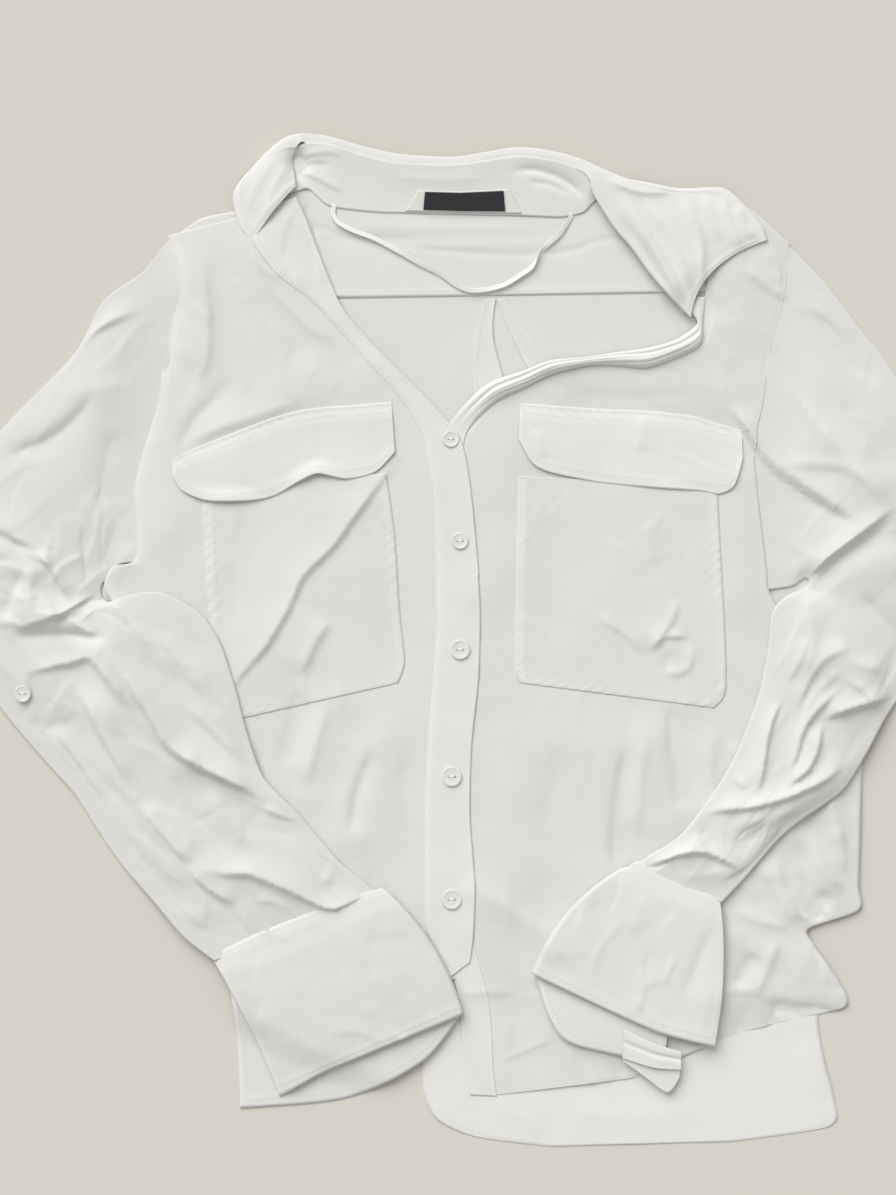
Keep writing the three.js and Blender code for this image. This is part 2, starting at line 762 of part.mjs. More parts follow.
// The free end of the right cuff, folded out below the mouth: top x, y, bottom x, y
const CUFF_END = [
  [104, -231.5, 103, -249],
  [122, -240, 121, -253.5],
  [138, -245, 138, -255],
];

function cuffEnd() {
  return panel(spread(CUFF_END, 2, ROW_STEP), (x, y) => bed(x, y) + TURN - CLOTH);
}

// ---- Buttons, label and ribbon -----------------------------------------------------------

// Buttons down the placket: x, y, radius, tilt in radians
const BUTTONS = [
  [0.5, 121, BUTTON.small, 0.03],
  [6, 60, BUTTON.small, 0],
  [6, -5, BUTTON.radius, 0],
  [1, -81, BUTTON.radius, 0],
  [1, -154.5, BUTTON.radius, 0],
];
const SLEEVE_BUTTON = { x: -255, y: -31, radius: 5 };

// A round button with a raised rim and a dished middle.
function button(radius) {
  const { thickness, rim, sides } = BUTTON;
  const profile = [
    [0, 0],
    [radius * 0.82, 0],
    [radius, rim],
    [radius, thickness - rim],
    [radius * 0.92, thickness],
    [radius * 0.74, thickness],
    [radius * 0.6, thickness - rim],
    [0, thickness - rim],
  ].map(([x, y]) => new THREE.Vector2(x, y));
  return new THREE.LatheGeometry(profile, sides).rotateX(Math.PI / 2);
}

// The neck label, black with a blank face, on a white patch on the stand's inner face.
// Ends at its top and bottom, and the shares of the stand's height that it covers
const LABEL_PATCH = { topLeft: -19, topRight: 35, left: -27, right: 43, low: 0.04, high: 0.46, lift: 1 };
const LABEL = { topLeft: -15, topRight: 32, left: -16, right: 33, low: 0.07, high: 0.43, lift: 2 };
const LABEL_WALL = 0.8;

// A piece lying on the stand's inner face, lifted off it by its own number of layers.
function onStand({ topLeft, topRight, left, right, low, high, lift }) {
  const columns = 5;
  const rise = CLOTH / 2 + lift * GAP + (lift - 0.5) * LABEL_WALL;
  const grid = Array.from({ length: columns }, (_, i) =>
    [low, high].map((share, side) => {
      const from = side === 0 ? left : topLeft;
      const to = side === 0 ? right : topRight;
      const x = mix(from, to, i / (columns - 1));
      const n = standRows.findIndex(([seamX]) => seamX > x);
      const t = (x - standRows[n - 1][0]) / (standRows[n][0] - standRows[n - 1][0]);
      const [, sy, , ry, sz, rz] = standRows[n - 1].map((value, k) => mix(value, standRows[n][k], t));
      const slope = Math.hypot(ry - sy, rz - sz);
      return [
        x,
        mix(sy, ry, share) - (rise * (rz - sz)) / slope,
        mix(sz, rz, share) + (rise * (ry - sy)) / slope,
      ];
    })
  );
  return shell(grid, LABEL_WALL);
}

function ribbon() {
  const route = new THREE.CatmullRomCurve3(RIBBON_ROUTE.map((point) => new THREE.Vector3(...point)));
  const section = new THREE.Shape(
    Array.from({ length: RIBBON.sides }, (_, k) => {
      const angle = (2 * Math.PI * (k + 0.5)) / RIBBON.sides;
      return new THREE.Vector2(Math.cos(angle), Math.sin(angle)).multiplyScalar(RIBBON.width / 2);
    })
  );
  return new THREE.ExtrudeGeometry(section, {
    extrudePath: route,
    steps: Math.round(RIBBON.length / (2.5 * RIBBON.width)),
    bevelEnabled: false,
  });
}

// The ribbon lies loose inside the neck, both ends at the neck seam: x, y, z
const RIBBON_ROUTE = [
  [-69, 262, 3.0], [-70, 256, 2.9], [-66, 250, 2.9], [-57, 245.5, 2.9], [-45, 241, 2.9],
  [-30, 233, 2.9], [-18, 226, 2.9], [-6, 220, 2.9], [4, 213, 2.9], [12, 210, 2.9],
  [22, 210.5, 2.9], [33, 213.5, 2.9], [42, 219, 2.9], [49, 224, 2.9], [53, 231, 2.9],
  [58, 237, 3.1], [65, 243, 3.2], [70, 250, 3.2], [74, 256, 3.2],
];

// ---- The blouse --------------------------------------------------------------------------

const group = new THREE.Group();

function add(name, geometry, look = WHITE) {
  const mesh = new THREE.Mesh(geometry, new THREE.MeshStandardMaterial(look));
  mesh.name = name;
  group.add(mesh);
  return mesh;
}

const PEARL = { color: 0xdedbcf, roughness: 0.35, metalness: 0 };
const BLACK = { color: 0x15151a, roughness: 0.7, metalness: 0 };

add('back_panel', backPanel());
add('back_yoke', backYoke());
add('front_left', frontLeft());
add('front_right', frontRight());
add('placket', placket());
add('button_band', buttonBand());
add('collar_stand', collarStand());
add('collar_leaf', collarLeaf());
add('pocket_left', patch(POCKET_LEFT, Z_POCKET));
add('pocket_right', patch(POCKET_RIGHT, Z_POCKET));
add('flap_left', patch(FLAP_LEFT, Z_FLAP));
add('flap_right', patch(FLAP_RIGHT, Z_FLAP));
const sleeveLeft = add('sleeve_left', sleeve(SLEEVE_LEFT, armholeLeft, -1));
add('sleeve_right', sleeve(SLEEVE_RIGHT, armholeRight, 1));
add('cuff_left', cuff(CUFF_LEFT));
add('cuff_right', cuff(CUFF_RIGHT));
add('cuff_end_right', cuffEnd());

BUTTONS.forEach(([x, y, radius, tilt], n) => {
  const mesh = add(`button_${n + 1}`, button(radius), PEARL);
  mesh.position.set(x, y, Z_BUTTON + relief(x, y));
  mesh.rotation.y = tilt;
});

// The sleeve's button sits on the cloth below it, square to it.
const down = new THREE.Raycaster(
  new THREE.Vector3(SLEEVE_BUTTON.x, SLEEVE_BUTTON.y, 100),
  new THREE.Vector3(0, 0, -1)
);
const [seat] = down.intersectObject(sleeveLeft);
const tabButton = add('sleeve_tab_button', button(SLEEVE_BUTTON.radius), PEARL);
tabButton.position.copy(seat.point).addScaledVector(seat.face.normal, GAP);
tabButton.quaternion.setFromUnitVectors(new THREE.Vector3(0, 0, 1), seat.face.normal);

add('label_patch', onStand(LABEL_PATCH));
add('label', onStand(LABEL), BLACK);
add('hanger_loop', ribbon(), PEARL);

export default group;
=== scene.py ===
# A crumpled shirt blouse of thin white viscose, laid flat on its back with the front up.
# Shapes are in millimetres in the model's own frame. Meshes, cuts and sheets are in metres.
import math

import bmesh
import bpy
import numpy as np
from mathutils import Matrix, Vector


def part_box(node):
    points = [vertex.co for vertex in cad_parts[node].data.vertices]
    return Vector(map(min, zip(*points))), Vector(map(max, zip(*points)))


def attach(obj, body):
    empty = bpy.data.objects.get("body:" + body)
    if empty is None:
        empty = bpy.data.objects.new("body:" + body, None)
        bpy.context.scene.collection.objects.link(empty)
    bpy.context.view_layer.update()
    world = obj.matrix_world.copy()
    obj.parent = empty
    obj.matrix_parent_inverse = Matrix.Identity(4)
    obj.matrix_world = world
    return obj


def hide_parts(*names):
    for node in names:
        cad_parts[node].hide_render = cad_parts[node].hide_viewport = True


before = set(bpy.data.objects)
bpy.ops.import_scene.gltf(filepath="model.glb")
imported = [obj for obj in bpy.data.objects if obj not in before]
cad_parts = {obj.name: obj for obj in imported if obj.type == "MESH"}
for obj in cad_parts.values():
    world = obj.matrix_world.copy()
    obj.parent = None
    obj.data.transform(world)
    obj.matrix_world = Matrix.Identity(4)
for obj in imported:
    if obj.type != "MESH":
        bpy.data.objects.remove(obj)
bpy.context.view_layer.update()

MM = 0.001
THREAD = 0.45  # thickness of one layer of cloth
FINE = 2.2  # spacing of the points of a shown panel

# Heights of the middle of each layer over the floor, before the folds lift it
Z_BACK = 0.6
Z_FRONT = 2.2
Z_PLACKET = 3.0
Z_POCKET = 2.87
Z_FLAP = 3.55
Z_BED = 3.8
SEWN = 0.28  # how much lower a piece lies where it is sewn down
TURN = 2.3  # height of two layers folded together
SWELL = 0.5  # share of the solids' soft ridges that thin cloth keeps


# ---- Camera and light ---------------------------------------------------------------------

CAMERA = {"x": -1.2, "y": 26.1, "height": 1394.0, "lens": 70.0}
FLOOR = {"size": 16.0, "colour": (0.645, 0.631, 0.553)}
KEY = {"place": (-0.85, 1.75, 1.55), "spread": 0.85, "strength": 2.66}
SKY = {"colour": (1.0, 0.998, 0.99), "strength": 0.50}


def aim(obj, place, target):
    """Puts a lamp at a place, turned to a target."""
    obj.location = place
    obj.rotation_euler = (Vector(target) - Vector(place)).to_track_quat("-Z", "Y").to_euler()


def make_camera():
    """A long lens straight above the blouse."""
    data = bpy.data.cameras.new("camera")
    data.lens = CAMERA["lens"]
    camera = bpy.data.objects.new("camera", data)
    camera.location = (CAMERA["x"] * MM, CAMERA["y"] * MM, CAMERA["height"] * MM)
    bpy.context.scene.collection.objects.link(camera)
    bpy.context.scene.camera = camera


def make_key():
    """One broad soft light from beyond the collar, a little to the left."""
    data = bpy.data.lights.new("key_light", "SUN")
    data.angle = KEY["spread"]
    data.energy = KEY["strength"]
    obj = bpy.data.objects.new("key_light", data)
    bpy.context.scene.collection.objects.link(obj)
    aim(obj, KEY["place"], (0, 0, 0))


def make_sky():
    """Even light from all round, nearly white."""
    world = bpy.data.worlds.new("studio")
    world.use_nodes = True
    background = world.node_tree.nodes["Background"]
    background.inputs["Color"].default_value = (*SKY["colour"], 1)
    background.inputs["Strength"].default_value = SKY["strength"]
    bpy.context.scene.world = world
    bpy.context.scene.view_settings.view_transform = "Standard"


def make_floor():
    """The warm grey surface that the blouse lies on."""
    bm = bmesh.new()
    bmesh.ops.create_grid(bm, x_segments=1, y_segments=1, size=FLOOR["size"] / 2)
    mesh = bpy.data.meshes.new("floor")
    bm.to_mesh(mesh)
    bm.free()
    floor = bpy.data.objects.new("floor", mesh)
    bpy.context.scene.collection.objects.link(floor)
    material = bpy.data.materials.new("floor_paper")
    material.use_nodes = True
    shader = material.node_tree.nodes["Principled BSDF"]
    shader.inputs["Base Color"].default_value = (*FLOOR["colour"], 1)
    shader.inputs["Roughness"].default_value = 0.95
    mesh.materials.append(material)


make_camera()
make_sky()
make_key()
make_floor()


# ---- Materials ----------------------------------------------------------------------------


class Finish:
    """A material and its nodes, with short ways to add and join them."""

    def __init__(self, name, roughness, sheen=0.0, specular=0.3):
        self.material = bpy.data.materials.new(name)
        self.material.use_nodes = True
        self.tree = self.material.node_tree
        self.shader = self.tree.nodes["Principled BSDF"]
        self.shader.inputs["Roughness"].default_value = roughness
        self.shader.inputs["Sheen Weight"].default_value = sheen
        self.shader.inputs["Specular IOR Level"].default_value = specular

    def node(self, kind, **inputs):
        """A new node with some of its inputs set; a space in an input's name is written _."""
        node = self.tree.nodes.new(kind)
        for key, value in inputs.items():
            node.inputs[key.replace("_", " ")].default_value = value
        return node

    def join(self, source, output, target, name):
        self.tree.links.new(source.outputs[output], target.inputs[name])

    def pattern(self, kind, **inputs):
        """A texture that is fixed to the piece."""
        texture = self.node(kind, **inputs)
        self.join(self.node("ShaderNodeTexCoord"), "Object", texture, "Vector")
        return texture

    def lines(self, direction, **inputs):
        """Fine lines that follow the cut of the cloth."""
        cut = self.node("ShaderNodeUVMap")
        cut.uv_map = "cut"
        yarn = self.node("ShaderNodeTexWave", Detail=1.0, **inputs)
        yarn.bands_direction = direction
        self.join(cut, "UV", yarn, "Vector")
        return yarn

    def mixed(self, factor, output, low, high):
        """A colour between two, by the factor node's output."""
        ramp = self.node("ShaderNodeValToRGB")
        ramp.color_ramp.elements[0].color = (*low, 1)
        ramp.color_ramp.elements[1].color = (*high, 1)
        self.join(factor, output, ramp, "Fac")
        return ramp

    def paint(self, texture, low, high):
        """Colours the surface from low to high by a texture."""
        colour = self.mixed(texture, "Fac", low, high)
        self.join(colour, "Color", self.shader, "Base Color")

    def bump(self, texture, strength, distance, below=None):
        """A texture as fine relief, over the relief below it."""
        bump = self.node("ShaderNodeBump", Strength=strength, Distance=distance)
        self.join(texture, "Fac", bump, "Height")
        if below:
            self.join(below, "Normal", bump, "Normal")
        return bump

    def emboss(self, bump):
        """Puts the relief on the surface."""
        self.join(bump, "Normal", self.shader, "Normal")


WEAVE = {"scale": 560.0, "strength": 0.12, "depth": 0.00006}
CRUMPLES = [(38.0, 0.0007), (110.0, 0.00022), (330.0, 0.00005)]  # scale and depth of each size
CRUMPLE_STRENGTH = 0.55
UNEVEN = {"scale": 9.0, "darkest": 0.975, "lightest": 1.02}


def viscose(name, single, double, crumple=1.0):
    """Thin matt cloth: whiter where it is double, with a fine weave and small crumples."""
    finish = Finish(name, roughness=0.86, sheen=0.12, specular=0.22)
    layers = finish.node("ShaderNodeAttribute")
    layers.attribute_name = "double"
    colour = finish.mixed(layers, "Fac", single, double)

    cloud = finish.pattern("ShaderNodeTexNoise", Scale=UNEVEN["scale"], Detail=3.0)
    shade = finish.node("ShaderNodeMapRange", To_Min=UNEVEN["darkest"], To_Max=UNEVEN["lightest"])
    finish.join(cloud, "Fac", shade, "Value")
    tint = finish.node("ShaderNodeVectorMath")
    tint.operation = "SCALE"
    finish.join(colour, "Color", tint, "Vector")
    finish.join(shade, "Result", tint, "Scale")
    finish.join(tint, "Vector", finish.shader, "Base Color")

    bump = None
    for direction in ("X", "Y"):
        yarn = finish.lines(direction, Scale=WEAVE["scale"], Distortion=1.2)
        bump = finish.bump(yarn, WEAVE["strength"], WEAVE["depth"], bump)
    for scale, depth in CRUMPLES:
        crease = finish.pattern("ShaderNodeTexNoise", Scale=scale, Detail=2.0, Roughness=0.55)
        bump = finish.bump(crease, CRUMPLE_STRENGTH * crumple, depth, bump)
    finish.emboss(bump)
    return finish.material


SINGLE = (0.690, 0.684, 0.655)
DOUBLE = (0.768, 0.757, 0.722)
CLOTH = viscose("white_viscose", SINGLE, DOUBLE)
INSIDE = viscose("white_viscose_inside", (0.698, 0.691, 0.663), DOUBLE, crumple=0.7)


def cotton_thread():
    """Twisted sewing thread."""
    finish = Finish("white_sewing_thread", roughness=0.6, sheen=0.2)
    twist = finish.pattern("ShaderNodeTexWave", Scale=900.0, Distortion=0.5)
    finish.paint(twist, (0.74, 0.73, 0.70), (0.86, 0.85, 0.82))
    return finish.material


def pearl():
    """Cast button resin: milky, softly clouded and glossy."""
    finish = Finish("milky_pearl", roughness=0.24, specular=0.55)
    cloud = finish.pattern("ShaderNodeTexNoise", Scale=170.0, Detail=3.0, Distortion=1.5)
    finish.paint(cloud, (0.66, 0.645, 0.60), (0.82, 0.81, 0.775))
    finish.emboss(finish.bump(cloud, 0.2, 0.0001))
    return finish.material


def hollow():
    """Painted shade for the inside of a button's hole: a dark fill that stands in for the shade there.
    """
    finish = Finish("button_hole_painted_shade", roughness=0.8)
    grain = finish.pattern("ShaderNodeTexNoise", Scale=900.0)
    finish.paint(grain, (0.40, 0.385, 0.34), (0.50, 0.48, 0.43))
    return finish.material


def satin(name, low, high, roughness):
    """A woven satin tape with its fine cross ribs."""
    finish = Finish(name, roughness=roughness, sheen=0.1, specular=0.4)
    rib = finish.lines("Y", Scale=420.0, Distortion=0.8)
    finish.paint(rib, low, high)
    finish.emboss(finish.bump(rib, 0.3, 0.00006))
    return finish.material


THREADS = cotton_thread()
PEARL = pearl()
HOLE_SHADE = hollow()
BLACK_SATIN = satin("black_label_satin", (0.010, 0.010, 0.012), (0.022, 0.022, 0.026), 0.5)
WHITE_SATIN = satin("white_ribbon_satin", (0.74, 0.735, 0.71), (0.83, 0.825, 0.80), 0.4)


# ---- Curves and folds ---------------------------------------------------------------------

SOFTNESS = 0.4  # how round a smooth row of points runs
FAR = 1e9  # a distance past any in the model


def mix(a, b, t):
    return a + (b - a) * t


def smooth(t):
    u = np.clip(t, 0, 1)
    return u * u * (3 - 2 * u)


def bell(value, middle, width):
    """1 at the middle, fading to 0 on both sides of it."""
    return np.exp(-(((value - middle) / width) ** 2))


def sections(table, share):
    """Smooth rows of a table at the shares 0..1 of its length, one column of numbers each."""
    rows = np.array(table, float)
    reach = np.linalg.norm(np.diff(rows, axis=0), axis=1)
    mark = np.concatenate([[0], np.cumsum(reach)]) / reach.sum()
    last = len(rows) - 1
    i = np.clip(np.searchsorted(mark, share, side="right") - 1, 0, last - 1)
    t = ((share - mark[i]) / (mark[i + 1] - mark[i]))[:, None]
    before, start, end, after = (rows[np.clip(i + k, 0, last)] for k in (-1, 0, 1, 2))
    leaving = SOFTNESS * (end - before)
    arriving = SOFTNESS * (after - start)
    t2 = t * t
    t3 = t2 * t
    found = (2 * t3 - 3 * t2 + 1) * start + (t3 - 2 * t2 + t) * leaving
    found += (3 * t2 - 2 * t3) * end + (t3 - t2) * arriving
    return found.T


def to_path(path, x, y):
    """Distance to a path, the side of it (1 left, -1 right) and the share of the way along."""
    nearest = np.full(x.shape, FAR)
    side = np.ones(x.shape)
    share = np.zeros(x.shape)
    steps = np.diff(path, axis=0)
    reach = np.hypot(steps[:, 0], steps[:, 1])
    mark = np.concatenate([[0], np.cumsum(reach)])
    for n, (dx, dy) in enumerate(steps):
        from_x, from_y = x - path[n][0], y - path[n][1]
        t = np.clip((from_x * dx + from_y * dy) / (dx * dx + dy * dy), 0, 1)
        away = np.hypot(from_x - t * dx, from_y - t * dy)
        closer = away < nearest
        nearest = np.where(closer, away, nearest)
        side = np.where(closer, np.where(dx * from_y - dy * from_x > 0, 1, -1), side)
        share = np.where(closer, (mark[n] + t * reach[n]) / mark[-1], share)
    return nearest, side, share


FOLD_ENDS = 0.28  # share of a fold over which each of its ends fades
CREST = 1.3  # 2 is a round crest, 1 a sharp one
BLUNT = 0.5  # rounding of the crest
FOLD_REACH = 2.6  # widths from a fold's line to where it is too low to count
PATH_STEPS = 3  # points on a fold's smooth line for each of its own points


def folds(table, x, y):
    """Height of all the folds of a table: the path's points, the rise and the widths beside it."""
    height = np.zeros(x.shape)
    for points, rise, left, right in table:
        reach = FOLD_REACH * max(left, right)
        path = np.array(points, float)
        low, high = path.min(axis=0) - reach, path.max(axis=0) + reach
        near = (x > low[0]) & (x < high[0]) & (y > low[1]) & (y < high[1])
        if not near.any():
            continue
        if len(path) > 2:
            path = sections(path, np.linspace(0, 1, PATH_STEPS * len(path))).T
        away, side, share = to_path(path, x[near], y[near])
        width = np.where(side > 0, left, right)
        fade = smooth(share / FOLD_ENDS) * smooth((1 - share) / FOLD_ENDS)
        height[near] += rise * fade * np.exp(-((np.hypot(away, BLUNT) / width) ** CREST))
    return height


BOW = 0.22  # how far a strewn crease bends, as a share of half its length
STEEP_SIDE = (0.3, 0.6)  # least and greatest width of its steep side, as shares of the width
SOFT_SIDE = (1.2, 3.0)  # and of its soft side
LEAST_RISE = 0.4  # lowest share of the rise
DIP = -0.7  # rise of a crease that sinks in, against one that stands up


def scatter(seed, low, high, angle, turn, count, length, rise, width):
    """Small creases strewn over a box, lying roughly one way: the rows of a folds table."""
    rng = np.random.default_rng(seed)
    table = []
    for _ in range(count):
        x, y = rng.uniform(low, high)
        way = math.radians(angle + rng.normal(0, turn))
        half = rng.uniform(*length) / 2
        bow = rng.normal(0, BOW) * half
        dx, dy = half * math.cos(way), half * math.sin(way)
        path = [(x - dx, y - dy), (x - bow * dy / half, y + bow * dx / half), (x + dx, y + dy)]
        steep = width * rng.uniform(*STEEP_SIDE)
        soft = width * rng.uniform(*SOFT_SIDE)
        sides = (steep, soft) if rng.random() < 0.5 else (soft, steep)
        table.append((path, rise * rng.choice([DIP, 1.0]) * rng.uniform(LEAST_RISE, 1.0), *sides))
    return table


def strewn(rows):
    """The creases of all the rows: seed, two corners of the box, angle, its spread, count,
    shortest and longest, rise and width."""
    return [fold for row in rows for fold in scatter(*row)]


RIPPLE_COUNT = 14
RIPPLES = np.random.default_rng(7)
RIPPLE_TURNS = RIPPLES.uniform(0, math.pi, RIPPLE_COUNT)
RIPPLE_LENGTHS = RIPPLES.uniform(26, 90, RIPPLE_COUNT)
RIPPLE_STARTS = RIPPLES.uniform(0, 2 * math.pi, RIPPLE_COUNT)
RIPPLE_BEND = 9  # how far the waves wander from a straight line
LOOSE = 0.32  # size of the ripples on the body and the sleeves
SMOOTHED = 0.12  # and on the back and the yoke


def ripple(x, y, size):
    """Small uneven waves of cloth that was never pressed."""
    height = np.zeros(x.shape)
    bent_x = x + RIPPLE_BEND * np.sin(y / 31 + 1.3)
    bent_y = y + RIPPLE_BEND * np.sin(x / 27 + 0.4)
    for turn, length, start in zip(RIPPLE_TURNS, RIPPLE_LENGTHS, RIPPLE_STARTS):
        along = bent_x * math.cos(turn) + bent_y * math.sin(turn)
        height += np.sin(2 * math.pi * along / length + start) * length / 60
    return size * height / math.sqrt(RIPPLE_COUNT)


# ---- The body's shape, as the solids have it -------------------------------------------------

# Armholes from the shoulder down: x, y
ARMHOLE_LEFT = [
    (-171, 242), (-163, 226), (-161, 211), (-167, 190), (-172, 165), (-174, 145),
    (-180, 125), (-186, 100), (-189, 80), (-188, 62), (-184, 48),
]
ARMHOLE_RIGHT = [
    (204, 239), (202, 220), (199, 200), (193, 180), (190, 160), (188, 143),
    (184, 124), (183, 100), (186, 78), (189, 55), (191, 31),
]

# Sides and hems of the body all round: x, y
BODY_OUTLINE = [
    (-200, 34), (-196, 43), (-184, 48), (-190, 80), (-174, 145), (-161, 211), (-171, 242),
    (-133, 257), (-84, 303), (60, 293), (171, 264), (204, 239), (188, 143), (183, 100),
    (191, 31), (247, -62), (245, -162), (214, -172), (237, -221), (231, -290), (60, -303),
    (-9, -286), (-19, -249), (-141, -192), (-183, -60), (-189, 4), (-197, 22),
]

# Soft ridges of the fronts: from x, y, to x, y, rise, half-width
FRONT_RIDGES = [
    (-157, 226, -158, 176, 3.6, 13), (-122, 232, -92, 158, 3.2, 20), (-52, 158, -150, 138, 1.8, 14),
    (-166, 118, -170, 68, 3.0, 14), (-50, 88, -118, -10, 2.0, 26), (-72, -38, -86, -92, 2.6, 13),
    (-40, -58, -58, -116, 2.4, 13), (-110, -96, -122, -150, 2.2, 16), (172, 236, 176, 190, 2.6, 14),
    (74, 154, 168, 148, 2.6, 13), (30, 118, 34, 40, 1.8, 16), (172, 96, 176, 32, 2.8, 15),
    (118, 74, 122, 20, 1.4, 26), (121, -58, 127, -106, 3.8, 13), (92, -66, 94, -134, 2.4, 14),
    (44, -62, 40, -128, 1.8, 18), (18, -150, 62, -180, 2.2, 11), (214, -78, 226, -150, 3.0, 15),
    (176, -176, 226, -196, 2.6, 13), (160, -212, 228, -216, 2.4, 12), (60, -226, 150, -250, 2.0, 18),
]


def ridges(table, x, y):
    """Height of all the soft ridges of a table."""
    height = np.zeros(x.shape)
    for x1, y1, x2, y2, rise, width in table:
        away, _, _ = to_path(np.array([(x1, y1), (x2, y2)], float), x, y)
        height += rise * bell(away, 0, width)
    return height


def relief(x, y):
    """The solids' soft ridges, as far as thin cloth keeps them."""
    return SWELL * ridges(FRONT_RIDGES, x, y)


def outside(x, y):
    """Distance of a point outside the body's outline; 0 inside."""
    ring = np.array([*BODY_OUTLINE, BODY_OUTLINE[0]], float)
    nearest, _, _ = to_path(ring, x, y)
    inside = np.zeros(x.shape, bool)
    for (x1, y1), (x2, y2) in zip(ring[:-1], ring[1:]):
        if y1 == y2:
            continue
        crosses = ((y1 > y) != (y2 > y)) & (x < x1 + (y - y1) * (x2 - x1) / (y2 - y1))
        inside ^= crosses
    return np.where(inside, 0, nearest)


BED_SHOULDER = 16  # how far past the body's edge a sleeve stays up
BED_SLOPE = 22  # and the width over which it comes down to the floor


def bed(x, y):
    """The height that a sleeve or cuff lies on."""
    away = outside(x, y) - BED_SHOULDER
    return (Z_BED + relief(x, y)) * (1 - smooth(away / BED_SLOPE))


def armhole_at(armhole, y):
    """The x of an armhole's curve at a y."""
    points = np.array(armhole[::-1], float)
    return np.interp(y, points[:, 1], points[:, 0])


# ---- Folds of the body: points, rise, width left and right of the path -----------------------

BODY_FOLDS = [
    # left shoulder and chest
    ([(-161, 211), (-166, 188), (-172, 152)], -1.2, 7, 9),
    ([(-148, 233), (-147, 217), (-144, 193), (-147, 163), (-160, 151)], 1.6, 3, 12),
    ([(-129, 160), (-141, 145), (-153, 133), (-164, 112)], -2.0, 10, 4),
    ([(-163, 115), (-138, 127), (-110, 136), (-84, 146)], 2.0, 9, 3),
    ([(-120, 235), (-113, 223), (-99, 216)], 0.9, 4, 1.8),
    ([(-111, 214), (-96, 199), (-84, 187), (-66, 178)], 1.2, 6, 2.6),
    ([(-100, 236), (-82, 196), (-60, 166)], 1.3, 5, 12),
    ([(-112, 214), (-96, 190), (-84, 160)], -1.0, 8, 8),
    # raised between the two arms of the left crook
    ([(-184, 62), (-198, 47), (-209, 35), (-204, 22), (-190, 8)], 2.2, 8, 8),
    # left pocket
    ([(-22, 119), (-40, 97), (-60, 70), (-70, 56), (-88, 38), (-96, 20), (-109, -2),
      (-126, -22), (-142, -44)], 2.6, 1.1, 11),
    ([(-70, 14), (-77, 5), (-82, -4), (-90, -22)], 2.2, 2.4, 9),
    ([(-120, 78), (-128, 40), (-130, 0)], -0.9, 12, 10),
    ([(-56, 60), (-50, 20), (-44, -20)], 0.8, 10, 12),
    # left front under the pocket
    ([(-45, -62), (-51, -77), (-57, -95), (-60, -119)], -2.4, 9, 2.8),
    ([(-91, -29), (-99, -77)], -2.0, 8, 3),
    ([(-72, -35), (-80, -62), (-87, -89)], 1.6, 2.6, 7),
    ([(-112, -50), (-120, -100), (-112, -150)], -1.6, 12, 5),
    ([(-24, -60), (-26, -110), (-22, -150)], -0.8, 10, 8),
    # right chest and pocket
    ([(60, 150), (110, 146), (160, 150)], -1.2, 9, 9),
    ([(156, 196), (160, 176), (170, 160)], 1.0, 8, 4),
    ([(174, 224), (184, 216), (194, 209), (204, 203)], 1.6, 8, 1.6),
    ([(190, 238), (196, 226), (198, 212)], 1.0, 2, 6),
    ([(86, 17), (96, 9), (104, 4), (118, -9)], 1.3, 6, 1.2),
    ([(137, 26), (134, 14), (128, 5), (120, -7)], 1.6, 1.2, 6),
    ([(119, -8), (128, 2), (144, 2)], 1.5, 5, 1.1),
    ([(126, -18), (136, -20), (144, -15), (146, 0)], 1.2, 4, 1.2),
    ([(130, -6), (130, -18)], -1.0, 3, 1.2),
    ([(166, 143), (177, 127), (188, 110), (212, 88)], 4.0, 9, 1.1),
    ([(114, 136), (113, 112)], 0.8, 7, 3),
    ([(116, 73), (119, 56), (121, 43)], 0.9, 7, 3),
    ([(64, 80), (60, 30), (66, -10)], -0.7, 14, 12),
    ([(52, 128), (56, 108)], 0.7, 5, 4),
    # right front under the pocket
    ([(131, -37), (133, -59), (136, -80), (136, -104)], -3.2, 9, 2.4),
    ([(105, -60), (99, -101), (98, -125), (99, -142)], -2.8, 9, 2.0),
    ([(118, -52), (114, -84), (112, -120)], 1.8, 3, 9),
    ([(158, -48), (156, -84), (164, -120)], 1.6, 3, 8),
    ([(66, -60), (60, -104), (64, -140)], -0.9, 12, 10),
    ([(15, -148), (30, -155), (62, -179)], 1.2, 3, 7),
    ([(2, -211), (24, -210), (50, -212)], 0.7, 3, 3),
    ([(40, -150), (44, -190), (40, -236)], -0.7, 10, 10),
    # right side and hem
    ([(206, -60), (214, -96), (216, -140)], -1.8, 10, 5),
    ([(184, -130), (196, -150), (204, -172)], 1.4, 6, 3),
    ([(168, -160), (186, -168), (206, -172)], 1.4, 6, 3),
    ([(228, -64), (232, -104), (236, -146)], 1.2, 5, 6),
    ([(214, -110), (219, -124), (226, -138), (238, -150)], 3.0, 2.2, 7),
    ([(194, -126), (199, -146), (208, -162), (218, -170)], 2.8, 2.2, 7),
    ([(229, -150), (223, -158), (218, -169)], -3.2, 2.2, 6),
    ([(226, -88), (230, -106), (237, -124)], 2.2, 2.2, 6),
    ([(206, -118), (212, -140), (214, -156)], -2.0, 5, 2.2),
    ([(225, -151), (221, -158), (217, -167)], -1.8, 5, 4),
    ([(182, -185), (176, -196), (170, -208)], -2.6, 7, 2.4),
    ([(196, -178), (190, -196), (182, -214)], 2.4, 2.4, 6),
    ([(186, -214), (208, -220), (236, -222)], -2.6, 2.4, 8),
    ([(195, -226), (212, -246), (231, -275)], 1.5, 4, 9),
    ([(160, -222), (166, -250), (162, -284)], -0.8, 12, 10),
    ([(96, -236), (92, -262), (98, -290)], 0.8, 12, 12),
]

